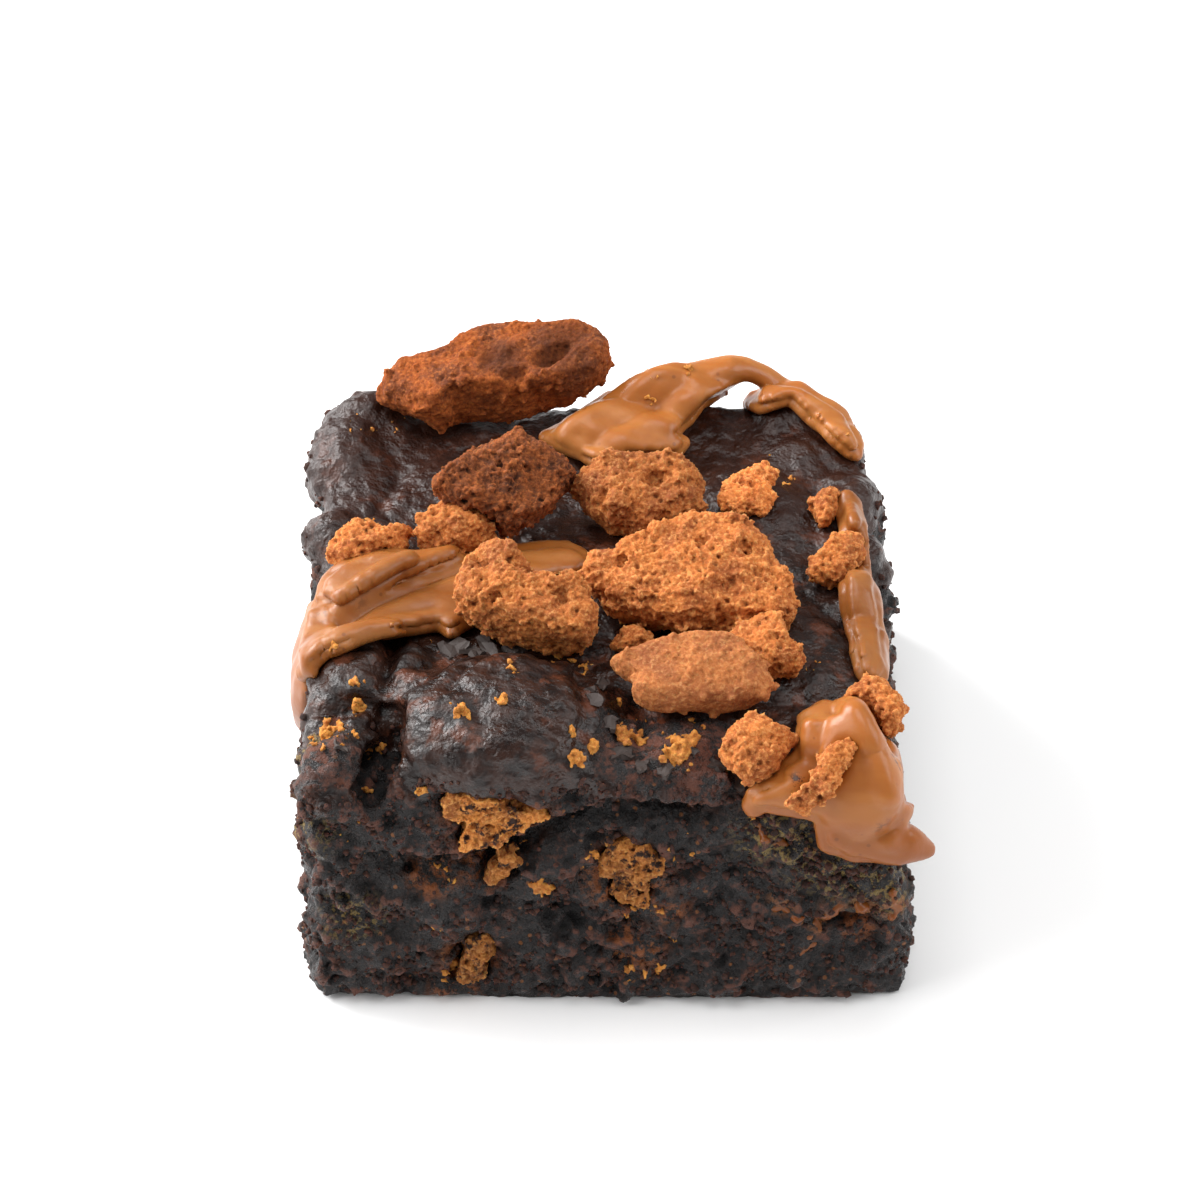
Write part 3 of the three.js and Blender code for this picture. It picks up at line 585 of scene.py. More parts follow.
def dotted_tree(name, material):
    """Lumps on the points of a mesh, each as large as its across attribute says."""
    tree, sizes = shape_tree(name, [])
    return finish_tree(tree, lumps_on(tree, sizes["Geometry"], named(tree, "across"), 2), material)


# Meshes


def new_object(name, mesh):
    piece = bpy.data.objects.new(name, mesh)
    bpy.context.scene.collection.objects.link(piece)
    return piece


def add_weld(piece):
    piece.modifiers.new("Weld", "WELD").merge_threshold = 0.01 * MM


def add_remesh(piece, facet, rounds=0):
    """Makes a piece one evenly divided closed mesh, and evens it out for some rounds."""
    remesh = piece.modifiers.new("Remesh", "REMESH")
    remesh.mode = "VOXEL"
    remesh.voxel_size = facet
    if rounds:
        smooth = piece.modifiers.new("Smooth", "SMOOTH")
        smooth.factor = 0.5
        smooth.iterations = rounds


def add_tree(piece, tree, **sizes):
    """Adds a geometry tree with those sizes, whose names have spaces in place of underscores."""
    modifier = piece.modifiers.new(tree.name, "NODES")
    modifier.node_group = tree
    wanted = {name.replace("_", " ").capitalize(): value for name, value in sizes.items()}
    for item in tree.interface.items_tree:
        if item.in_out == "INPUT" and item.name in wanted:
            modifier[item.identifier] = wanted[item.name]


def bake(piece):
    """Applies every modifier of a piece to its mesh."""
    graph = bpy.context.evaluated_depsgraph_get()
    mesh = bpy.data.meshes.new_from_object(
        piece.evaluated_get(graph), preserve_all_data_layers=True, depsgraph=graph
    )
    piece.modifiers.clear()
    piece.data = mesh
    mesh.name = piece.name


def copy_of(node, facet, name):
    """A finely and evenly divided copy of a node of the frame."""
    piece = new_object(name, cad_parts[node].data.copy())
    add_weld(piece)
    add_remesh(piece, facet)
    bake(piece)
    return piece


def keep(piece, slot, *nodes):
    """Hands a finished piece to the frame."""
    piece.data.shade_smooth()
    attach(piece, "root")
    if nodes:
        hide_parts(*nodes)


def points_of(mesh, what="co"):
    values = np.empty(len(mesh.vertices) * 3)
    mesh.vertices.foreach_get(what, values)
    return values.reshape(-1, 3)


def set_points(mesh, points):
    mesh.vertices.foreach_set("co", points.ravel())
    mesh.update()


def set_share(mesh, name, values):
    """Stores a number for each point of a mesh under that name."""
    layer = mesh.attributes.get(name) or mesh.attributes.new(name, "FLOAT", "POINT")
    layer.data.foreach_set("value", np.asarray(values, dtype=np.float32))


def set_even(piece, name, value):
    """Stores the same number for every point of a piece."""
    set_share(piece.data, name, np.full(len(piece.data.vertices), value))


def rolling(points, wavelength, shift=0.0):
    """Soft noise at each point, about -1 to 1."""
    return np.array([noise.noise(Vector(p) / wavelength + Vector((shift, shift, shift))) for p in points])


def step(low, high, value):
    """value as a smooth step, 0 at low and 1 at high."""
    t = np.clip((value - low) / (high - low), 0, 1)
    return t * t * (3 - 2 * t)


def away_from(points, path):
    """How far each flat point lies from a path."""
    best = np.full(len(points), np.inf)
    for start, end in zip(path, path[1:]):
        way = end - start
        share = np.clip((points - start) @ way / (way @ way), 0, 1)
        best = np.minimum(best, np.linalg.norm(points - start - share[:, None] * way, axis=1))
    return best


def crease(mesh, creases, lowest):
    """Presses creases into the upward faces of a mesh, above that height."""
    points, normals = points_of(mesh), points_of(mesh, "normal")
    upward = step(0.0, 0.4, normals[:, 2]) * step(lowest, lowest + 2 * MM, points[:, 2])
    for path, width, depth in creases:
        away = away_from(points[:, :2], np.array(path) * MM) / (width * MM)
        points -= normals * (upward * depth * MM * np.exp(-away * away))[:, None]
    set_points(mesh, points)


def sunk(points):
    """How far each point lies in the recess below a ledge: a depth in metres and a share from 0 to 1."""
    in_front = step(-27 * MM, -30.5 * MM, points[:, 1])
    wander = rolling(points, 3 * MM) * 0.9 * MM
    depths, shares = np.zeros(len(points)), np.zeros(len(points))
    for path, depth, reach in LEDGES:
        xs, zs = np.array(path).T * MM
        below = np.interp(points[:, 0], xs, zs) + wander - points[:, 2]
        begun = step(xs[0] - 2 * MM, xs[0] + 2 * MM, points[:, 0])
        ended = step(xs[-1] + 2 * MM, xs[-1] - 2 * MM, points[:, 0])
        share = in_front * (begun * ended) * step(-0.3 * MM, 0.5 * MM, below)
        share = share * step(reach * MM, 0, below)
        depths += depth * MM * share
        shares = np.maximum(shares, share)
    return depths, shares


def set_back(mesh):
    """Sets the front cut back below each of its ledges."""
    points = points_of(mesh)
    points[:, 1] += sunk(points)[0]
    set_points(mesh, points)


def tear(mesh):
    """Makes all four cut faces uneven, as a knife leaves them that drags at moist crumb."""
    points, normals = points_of(mesh), points_of(mesh, "normal")
    wall = step(0.75, 0.35, np.abs(normals[:, 2])) * step(0, 2.5 * MM, points[:, 2])
    deep = np.minimum(rolling(points, 4.5 * MM, 5.0), 0.15) * 1.9 * MM
    deep += rolling(points, 2.2 * MM, 8.0) * 0.5 * MM
    points += normals * (wall * deep)[:, None]
    set_points(mesh, points)


def flatten(mesh):
    """Fills the underside of a mesh, which lies at height 0, with as few faces as its outline allows."""
    work = bmesh.new()
    work.from_mesh(mesh)
    low = [face for face in work.faces if all(vert.co.z == 0 for vert in face.verts)]
    bmesh.ops.delete(work, geom=low, context="FACES")
    rim = [edge for edge in work.edges if edge.is_boundary]
    new = bmesh.ops.triangle_fill(work, edges=rim, use_dissolve=False, use_beauty=True)["geom"]
    for face in new:
        if isinstance(face, bmesh.types.BMFace) and face.normal.z > 0:
            face.normal_flip()
    work.to_mesh(mesh)
    work.free()
    mesh.update()


def crumbled(points):
    """How far each point lies where the crust has crumbled away, from 0 to 1."""
    share = np.zeros(len(points))
    ragged = 1.5 * MM * rolling(points, 2 * MM, 2.0)
    for middle, reach in CRUMBLED:
        away = np.linalg.norm(points[:, :2] - np.array(middle) * MM, axis=1) + ragged
        share = np.maximum(share, step(reach * MM, 0.7 * reach * MM, away))
    return share


def crust_share(points, edge):
    """How far each point belongs to the crust, from 0 on a cut face to 1 on top."""
    whole = step(edge - 0.9 * MM, edge + 0.9 * MM, points[:, 2] + 2.0 * MM * rolling(points, 3.5 * MM))
    return whole * (1 - 0.85 * crumbled(points))


def cake_tree(material):
    """The relief of the cake: grit and pits on its cut faces, folds and bubbles on its crust."""
    labels = ["Grit", "Grit depth", "Pit", "Pit depth", "Fold", "Fold depth", "Bubble", "Bubble depth"]
    tree, sizes = shape_tree("Cake relief", labels)
    place = position(tree)
    crust = named(tree, "crust")
    rough = times(tree, minus(tree, clouds(tree, place, sizes["Grit"], 4.0, 0.75), 0.52), 3.0)
    wall = times(tree, rough, sizes["Grit depth"])
    bent = warped(tree, place, 2.2 * MM, 1.4 * MM)
    pits = ease(tree, cells(tree, bent, sizes["Pit"]).outputs["Distance"], 0.36, 0.1)
    torn = ease(tree, clouds(tree, place, 9.0 * MM), 0.42, 0.58)
    wall = minus(tree, wall, times(tree, times(tree, pits, torn), sizes["Pit depth"]))
    folds = clouds(tree, place, sizes["Fold"], 2.0, 0.5, 0.8)
    ridge = minus(tree, 0.2, calc(tree, "ABSOLUTE", minus(tree, folds, 0.5)))
    bubbly = warped(tree, place, sizes["Bubble"], 0.6 * MM)
    bumps = minus(tree, 0.4, cells(tree, bubbly, sizes["Bubble"], "SMOOTH_F1").outputs["Distance"])
    where = ease(tree, clouds(tree, place, 6 * MM), 0.35, 0.65, 0.35, 1.2)
    skin = add(
        tree, times(tree, ridge, times(tree, sizes["Fold depth"], 3.0)),
        times(tree, times(tree, bumps, where), times(tree, sizes["Bubble depth"], 2.0)),
    )
    rise = add(tree, times(tree, skin, crust), times(tree, wall, minus(tree, 1.0, crust)))
    lift = ease(tree, along(tree, place, "Z"), 0.0, 1.2 * MM)
    level = put(tree, "ShaderNodeCombineXYZ", {"X": 1.0, "Y": 1.0, "Z": lift}).outputs[0]
    moved = pushed(tree, sizes["Geometry"], rise, level)
    return finish_tree(tree, with_hollows(tree, moved, 6, 0.5 * MM), material)


def crag_tree(material):
    """The broken faces of a biscuit: blocky crags, with large and small pores between them."""
    labels = ["Crag", "Crag depth", "Pore", "Pore depth", "Swell"]
    tree, sizes = shape_tree("Biscuit crags " + material.name, labels)
    place = position(tree)
    bent = warped(tree, place, 2.0 * MM, 0.8 * MM)
    blocks = cells(tree, bent, sizes["Crag"], "SMOOTH_F1").outputs["Color"]
    blocky = along(tree, blocks, "X")
    soft = clouds(tree, place, sizes["Crag"], 3.0, 0.6)
    pores = ease(tree, cells(tree, bent, sizes["Pore"]).outputs["Distance"], 0.4, 0.1)
    small = ease(tree, cells(tree, bent, times(tree, sizes["Pore"], 0.5)).outputs["Distance"], 0.45, 0.15)
    patches = ease(tree, clouds(tree, place, 4.0 * MM), 0.45, 0.58)
    deep = add(tree, times(tree, pores, patches), times(tree, small, 0.3))
    crags = add(tree, times(tree, blocky, 0.6), times(tree, soft, 0.9), -0.75)
    rise = times(tree, crags, sizes["Crag depth"])
    rise = minus(tree, rise, times(tree, deep, sizes["Pore depth"]))
    moved = pushed(tree, sizes["Geometry"], add(tree, rise, sizes["Swell"]))
    return finish_tree(tree, moved, material)


def grain_tree(material):
    """The sandy grains that a biscuit is baked from, with small holes between them."""
    tree, sizes = shape_tree("Biscuit grains " + material.name, ["Grain", "Grain depth"])
    place = position(tree)
    sandy = times(tree, minus(tree, clouds(tree, place, sizes["Grain"], 5.0, 0.85), 0.52), 3.2)
    bent = warped(tree, place, 1.0 * MM, 0.5 * MM)
    holes = ease(tree, cells(tree, bent, times(tree, sizes["Grain"], 1.3)).outputs["Distance"], 0.42, 0.12)
    rise = times(tree, minus(tree, sandy, times(tree, holes, 0.8)), sizes["Grain depth"])
    moved = pushed(tree, sizes["Geometry"], rise)
    return finish_tree(tree, with_hollows(tree, moved, 9, 0.4 * MM), material)


def spread_tree(material):
    """The drawn-out ripples of the spread."""
    tree, sizes = shape_tree("Spread relief", ["Ripple", "Ripple depth", "Swell"])
    place = position(tree)
    drawn = stretched(tree, place, 0.2, (0.5, 1.2, 1.0))
    ripples = minus(tree, clouds(tree, drawn, sizes["Ripple"], 2.0, 0.35, 1.0), 0.5)
    dimples = minus(tree, clouds(tree, place, 1.8 * MM, 1.0), 0.5)
    waves = times(tree, ripples, times(tree, sizes["Ripple depth"], 2.0))
    rise = add(tree, waves, times(tree, dimples, 0.12 * MM), sizes["Swell"])
    moved = pushed(tree, sizes["Geometry"], rise)
    return finish_tree(tree, with_hollows(tree, moved, 12, 0.5 * MM), material)


# Finishes


def new_finish(name, **constants):
    """A material with its own tree, its shader and the object's own coordinates."""
    material = bpy.data.materials.new(name)
    material.use_nodes = True
    tree = material.node_tree
    shader = tree.nodes["Principled BSDF"]
    for socket, value in constants.items():
        shader.inputs[socket.replace("_", " ")].default_value = value
    place = put(tree, "ShaderNodeTexCoord").outputs["Object"]
    return material, tree, shader, place


def attribute(tree, name):
    return put(tree, "ShaderNodeAttribute", attribute_name=name).outputs["Fac"]


def opaque(value):
    """A colour with full cover, or the socket itself."""
    return value if isinstance(value, bpy.types.NodeSocket) else (*value, 1.0)


def blend(tree, share, first, second):
    inputs = {0: share, 6: opaque(first), 7: opaque(second)}
    return put(tree, "ShaderNodeMix", inputs, data_type="RGBA").outputs[2]


def level_between(tree, share, first, second):
    return put(tree, "ShaderNodeMix", {0: share, 2: first, 3: second}, data_type="FLOAT").outputs[0]


def bump(tree, height, strength, depth):
    inputs = {"Height": height, "Strength": strength, "Distance": depth}
    return put(tree, "ShaderNodeBump", inputs).outputs[0]


def chance(tree, cell_node):
    """A random number from 0 to 1 for each cell."""
    return along(tree, cell_node.outputs["Color"], "X")


def near(tree, place, centre, reach):
    """1 at a point of the brownie in millimetres, falling to 0 at that reach."""
    middle = tuple(c * MM for c in centre)
    away = put(tree, "ShaderNodeVectorMath", {0: place, 1: middle}, operation="DISTANCE").outputs["Value"]
    return ease(tree, away, reach * MM, reach * 0.35 * MM)


def any_near(tree, place, spots):
    """How near a point is to the nearest of some spots, each a middle and a reach in millimetres."""
    share = 0.0
    for centre, reach in spots:
        share = calc(tree, "MAXIMUM", share, near(tree, place, centre, reach))
    return share


def on_front(spots):
    """Spots given as (x, z) and reach, moved onto the front cut."""
    return [((x, FRONT, z), reach) for (x, z), reach in spots]


def dots(tree, cell_node, chosen, full):
    """Round dots in some of the cells: those whose chance passes chosen, fully where it passes full."""
    shape = ease(tree, cell_node.outputs["Distance"], 0.34, 0.2)
    return times(tree, ease(tree, chance(tree, cell_node), chosen, full), shape)


def faint(rgb, share):
    return tuple(c * share for c in rgb)


def toned(tree, base):
    """base, made as light as the piece's own tone says."""
    return scaled(tree, base, attribute(tree, "tone"))


def crumb_colour(tree, place, colours, patchy, fine, hollow, mottled):
    """The colour of the cut crumb: nearly black, with drier clumps, partly painted light on raised parts,
    specks, stains and smears, and painted shade in hollows and below ledges.
    """
    # The lighter clumps follow soft noise as the crumb's own drier colour, and are partly painted light on
    # raised parts.
    raised = ease(tree, hollow, 0.1, -0.8)
    clumps = add(tree, patchy, times(tree, raised, 0.2), times(tree, fine, 0.3), -0.2)
    crumb = blend(tree, ease(tree, clumps, 0.52, 0.7), colours.crumb, colours.crumb_light)
    crumb = blend(tree, ease(tree, fine, 0.5, 0.7, 0.0, 0.5), crumb, SHADES["dusty crumb"])
    # Painted shade: the crumb darker in its hollows.
    crumb = blend(tree, ease(tree, hollow, 0.0, 0.8), crumb, faint(colours.crumb, 0.2))
    # Painted shade: the crumb darker in the recess below each ledge.
    crumb = blend(tree, times(tree, attribute(tree, "recess"), 0.85), crumb, faint(colours.crumb, 0.12))
    speck = dots(tree, cells(tree, place, 1.0 * MM), 0.84, 0.9)
    crumb = blend(tree, times(tree, speck, 0.6), crumb, SHADES["biscuit speck"])
    dotted = ease(tree, clouds(tree, place, 0.9 * MM, 3.0, 0.7), 0.5, 0.6)
    for spots, pattern, share, shade in (
        (on_front(STAINS), mottled, 0.85, "biscuit stain"), (OILY_PATCHES, dotted, 0.7, "oily crumb"),
        (on_front(SMEARED), mottled, 0.75, "smeared spread"),
    ):
        tint = times(tree, times(tree, any_near(tree, place, spots), pattern), share)
        crumb = blend(tree, tint, crumb, SHADES[shade])
    for (x, y), reach in CRUMBLED:
        ruddy = times(tree, times(tree, near(tree, place, (x, y, CRUMBLED_AT), reach), mottled), 0.8)
        crumb = blend(tree, ruddy, crumb, SHADES["ruddy crumb"])
    return crumb


def crust_colour(tree, place, colours, hollow, mottled, far_back):
    """The colour of the crust: dark brown, with warm patches and toasted biscuit under it, painted shade in
    its hollows, and darker towards the back as painted shade.
    """
    shade = ease(tree, clouds(tree, place, 2.4 * MM, 3.0, 0.6), 0.38, 0.62)
    top = blend(tree, shade, colours.crust_dark, colours.crust)
    # Painted shade: the crust darker in its hollows.
    top = blend(tree, ease(tree, hollow, 0.05, 0.8), top, faint(colours.crust_dark, 0.4))
    warm = ease(tree, clouds(tree, place, 4 * MM, 4.0, 0.65), 0.54, 0.66)
    top = blend(tree, times(tree, warm, 0.6), top, SHADES["warm crust"])
    # Painted shade: the crust darker and redder towards the back.
    top = blend(tree, times(tree, far_back, 0.7), top, SHADES["far crust"])
    toasted = times(tree, times(tree, any_near(tree, place, TOASTED), mottled), 0.8)
    return blend(tree, toasted, top, SHADES["toasted crust"])


def cake_finish(colours):
    """Moist dark crumb, under a satin crust where the crust attribute says so."""
    material, tree, shader, place = new_finish("Cake", Specular_IOR_Level=0.35)
    hollow = attribute(tree, "hollow")
    patchy = clouds(tree, place, 3.0 * MM, 4.0, 0.65)
    fine = clouds(tree, place, 0.6 * MM, 4.0, 0.7)
    mottled = ease(tree, clouds(tree, place, 1.5 * MM, 4.0, 0.7), 0.44, 0.58)
    # How far back a point lies: the crust gets painted shade and a set roughness there.
    far_back = ease(tree, along(tree, place, "Y"), -2 * MM, 14 * MM, 0.0, 0.8)
    edge = add(tree, attribute(tree, "crust"), times(tree, minus(tree, fine, 0.5), 0.9))
    crust = ease(tree, edge, 0.4, 0.6)
    crumb = crumb_colour(tree, place, colours, patchy, fine, hollow, mottled)
    top = crust_colour(tree, place, colours, hollow, mottled, far_back)
    tree.links.new(blend(tree, crust, crumb, top), shader.inputs["Base Color"])
    wet = ease(tree, patchy, 0.42, 0.62, 0.2, 0.7)
    satin = ease(tree, clouds(tree, place, 3.0 * MM, 3.0, 0.6), 0.38, 0.64, 0.16, 0.46)
    satin = level_between(tree, far_back, satin, 0.34)
    tree.links.new(level_between(tree, crust, wet, satin), shader.inputs["Roughness"])
    grain = add(tree, fine, times(tree, clouds(tree, place, 0.22 * MM, 2.0, 0.6), 0.6))
    pebbles = clouds(tree, place, 1.3 * MM, 2.0, 0.5)
    pebbled = add(tree, times(tree, fine, 0.35), times(tree, pebbles, 1.3))
    strength = level_between(tree, crust, 1.0, 0.85)
    surface = level_between(tree, crust, grain, pebbled)
    tree.links.new(bump(tree, surface, strength, 0.45 * MM), shader.inputs["Normal"])
    return material


def biscuit_finish(name, light, middle, dark, crumbed=0.0, scorched=()):
    """A sandy biscuit, of which that share is hidden by dark crumb, with painted light on raised grains,
    painted shade in hollows and painted shade at the spots given.
    """
    material, tree, shader, place = new_finish(
        name, Specular_IOR_Level=0.3, Subsurface_Weight=0.2, Subsurface_Scale=0.6 * MM,
        Subsurface_Radius=(1.0, 0.35, 0.1),
    )
    hollow = attribute(tree, "hollow")
    toast = clouds(tree, place, 3.5 * MM, 4.0, 0.6)
    sandy = clouds(tree, place, 0.5 * MM, 4.0, 0.75)
    base = blend(tree, ease(tree, toast, 0.42, 0.68, 0.0, 0.75), middle, dark)
    base = blend(tree, ease(tree, sandy, 0.48, 0.68, 0.0, 0.6), base, light)
    base = blend(tree, ease(tree, sandy, 0.5, 0.34, 0.0, 0.6), base, dark)
    # Painted light: raised grains lighter.
    base = blend(tree, ease(tree, hollow, -0.1, -0.9, 0.0, 0.4), base, light)
    sugar = cells(tree, place, 0.75 * MM)
    round_grain = ease(tree, sugar.outputs["Distance"], 0.3, 0.2)
    pale = times(tree, ease(tree, chance(tree, sugar), 0.86, 0.9), round_grain)
    base = blend(tree, times(tree, pale, 0.4), base, tuple(min(1.0, 1.25 * c) for c in light))
    # Painted shade: pores and hollows darker.
    base = blend(tree, ease(tree, hollow, 0.05, 0.9, 0.0, 0.9), base, faint(dark, 0.5))
    # Painted shade: darker at the given spots.
    for centre, reach in scorched:
        base = blend(tree, times(tree, near(tree, place, centre, reach), 0.75), base, faint(dark, 0.6))
    if crumbed:
        patches = clouds(tree, place, 1.8 * MM, 4.0, 0.7)
        hidden = ease(tree, patches, 0.64 - 0.2 * crumbed, 0.72 - 0.2 * crumbed)
        base = blend(tree, hidden, base, SHADES["crumb on biscuit"])
    tree.links.new(toned(tree, base), shader.inputs["Base Color"])
    tree.links.new(ease(tree, toast, 0.3, 0.7, 0.95, 0.7), shader.inputs["Roughness"])
    tree.links.new(bump(tree, sandy, 1.0, 0.32 * MM), shader.inputs["Normal"])
    return material


def spread_finish(colours):
    """Glossy biscuit spread, with streaks, flecks and smudges of cake, and painted shade in its hollows."""
    material, tree, shader, place = new_finish(
        "Biscuit spread", Subsurface_Weight=0.3, Subsurface_Scale=1.2 * MM,
        Subsurface_Radius=(1.0, 0.42, 0.14), Specular_IOR_Level=0.3, Coat_Weight=0.1, Coat_Roughness=0.14,
    )
    streaks = stretched(tree, place, 0.25, (0.4, 1.3, 1.0))
    drawn = clouds(tree, streaks, 5 * MM, 4.0, 0.5, 0.6)
    pale = times(tree, ease(tree, drawn, 0.4, 0.66), 0.6)
    base = blend(tree, pale, colours.spread, colours.spread_light)
    # Painted shade: the spread darker in its hollows.
    deep = ease(tree, attribute(tree, "hollow"), 0.0, 1.0)
    base = blend(tree, times(tree, deep, 0.75), base, SHADES["deep spread"])
    low = ease(tree, along(tree, place, "Z"), 37 * MM, 24 * MM, 0.0, 0.75)
    base = blend(tree, low, base, SHADES["low spread"])
    smudged = ease(tree, clouds(tree, place, 0.8 * MM, 3.0, 0.7), 0.5, 0.56)
    for centre, reach in SPREAD_SMUDGES:
        smudge = times(tree, times(tree, near(tree, place, centre, reach), smudged), 0.9)
        base = blend(tree, smudge, base, SHADES["smudge"])
    fleck = dots(tree, cells(tree, place, 0.9 * MM), 0.93, 0.96)
    base = blend(tree, times(tree, fleck, 0.5), base, SHADES["spread fleck"])
    tree.links.new(toned(tree, base), shader.inputs["Base Color"])
    tree.links.new(ease(tree, drawn, 0.3, 0.7, 0.3, 0.48), shader.inputs["Roughness"])
    dimples = clouds(tree, place, 0.7 * MM, 2.0)
    tree.links.new(bump(tree, dimples, 0.2, 0.15 * MM), shader.inputs["Normal"])
    return material


# Loose crumbs


def surface_of(*names):
    """What rays can hit of the pieces with those names."""
    points, faces = [], []
    for name in names:
        mesh = bpy.data.objects[name].data
        mesh.calc_loop_triangles()
        corners = np.empty(len(mesh.loop_triangles) * 3, dtype=np.int64)
        mesh.loop_triangles.foreach_get("vertices", corners)
        faces += (corners.reshape(-1, 3) + len(points)).tolist()
        points += points_of(mesh).tolist()
    return BVHTree.FromPolygons(points, faces)


def cast(surface, spot, from_front):
    """Where a crumb at a flat place in metres lands, from above or, in the front cut, from the front."""
    if from_front:
        start, way = Vector((spot[0], IN_FRONT, spot[1])), Vector((0, 1, 0))
    else:
        start, way = Vector((spot[0], spot[1], ABOVE)), Vector((0, 0, -1))
    return surface.ray_cast(start, way)[0]


def crumb_grains(surface, clusters, from_front, draw):
    """The places and sizes of the grains that crumbs are fused from."""
    grains = []
    for middle, spread, count, largest in clusters:
        for _ in range(count):
            angle, away = draw.uniform(0, 2 * math.pi), spread * MM * math.sqrt(draw.random())
            spot = (middle[0] * MM + away * math.cos(angle), middle[1] * MM + away * math.sin(angle))
            hit = cast(surface, spot, from_front)
            if hit is None:
                continue
            across = largest * MM * (0.25 + 0.75 * draw.random() ** 1.6)
            for _ in range(2 + int(9 * across / MM)):
                push = Vector([draw.gauss(0, 0.3 * across) for _ in range(3)])
                grains.append((hit + push, across * draw.uniform(0.25, 0.6)))
    return grains


def streak_grains(surface, draw):
    """The places and sizes of the grains that the streaks of spread in the front cut are fused from."""
    grains = []
    for path, thick in STREAKS:
        for start, end in zip(path, path[1:]):
            steps = max(2, int(math.dist(start, end) / 0.35))
            for index in range(steps):
                share = index / steps
                spot = [(a + (b - a) * share + draw.gauss(0, 0.22)) * MM for a, b in zip(start, end)]
                hit = cast(surface, spot, True)
                if hit is not None:
                    sunken = hit + Vector((0, 0.32 * thick * MM, 0))
                    grains.append((sunken, thick * MM * draw.uniform(0.5, 1.1)))
    return grains


def scattered(name, grains):
    """A piece of bare points at those places, which stores those sizes."""
    mesh = bpy.data.meshes.new(name)
    mesh.from_pydata([place for place, _ in grains], [], [])
    set_share(mesh, "across", [across for _, across in grains])
    return new_object(name, mesh)


def fused(name, grains, facet, finish, rounds, relief, **sizes):
    """One piece of rough lumps at those places and sizes, fused where they touch."""
    piece = scattered(name, grains)
    add_tree(piece, dotted_tree(name + " lumps", finish))
    add_remesh(piece, facet, rounds)
    add_tree(piece, relief, **sizes)
    bake(piece)
    return piece


# Operators


def special_biscuit(name, **settings):
    return biscuit_finish(name, *BISCUIT_SHADES[name], **settings)


def brownie(context):
    """The settings of the brownie."""
    return context.scene.brownie


class BuildCake(Operator):
    """Makes the body of the brownie, with its crust and its cut crumb"""

    bl_idname = "brownie.build_cake"
    bl_label = "Build cake"

    def execute(self, context):
        sizes = brownie(context).cake
        finish = cake_finish(brownie(context).colours)
        cake = copy_of("brownie", COARSE * sizes.facet, "cake")
        tear(cake.data)
        set_back(cake.data)
        crease(cake.data, CREASES, 29 * MM)
        points, normals = points_of(cake.data), points_of(cake.data, "normal")
        wall = np.maximum(step(0.8, 0.4, np.abs(normals[:, 2])), 0.8 * crumbled(points))
        wall *= 1 - crust_share(points, sizes.crust_edge)
        patches = 0.25 + 0.75 * step(-0.25, 0.25, rolling(points, 5 * MM, 3.0))
        wall *= 1 - 0.5 * step(0.4, 0.8, np.abs(normals[:, 0]))
        set_share(cake.data, "share", wall * patches * step(1.2 * MM, 2.6 * MM, points[:, 2]))
        add_tree(
            cake, lumpy_tree("Crumb clumps", finish), density=sizes.clump_density / SQUARE_CM,
            smallest=0.6 * MM, largest=sizes.clump, seed=3,
        )
        add_remesh(cake, sizes.facet, 1)
        bake(cake)
        points = points_of(cake.data)
        set_share(cake.data, "crust", crust_share(points, sizes.crust_edge))
        # How far each point lies in the recess below a ledge, from which the finish paints shade.
        set_share(cake.data, "recess", sunk(points)[1])
        add_tree(
            cake, cake_tree(finish), grit=sizes.grit, grit_depth=sizes.grit_depth, pit=sizes.pit,
            pit_depth=sizes.pit_depth, fold=sizes.fold, fold_depth=sizes.fold_depth, bubble=sizes.bubble,
            bubble_depth=sizes.bubble_depth,
        )
        bake(cake)
        points = points_of(cake.data)
        points[:, 2] = np.where(points[:, 2] < 0.05 * MM, 0, points[:, 2])
        set_points(cake.data, points)
        flatten(cake.data)
        keep(cake, "crumb", "brownie")
        return {"FINISHED"}


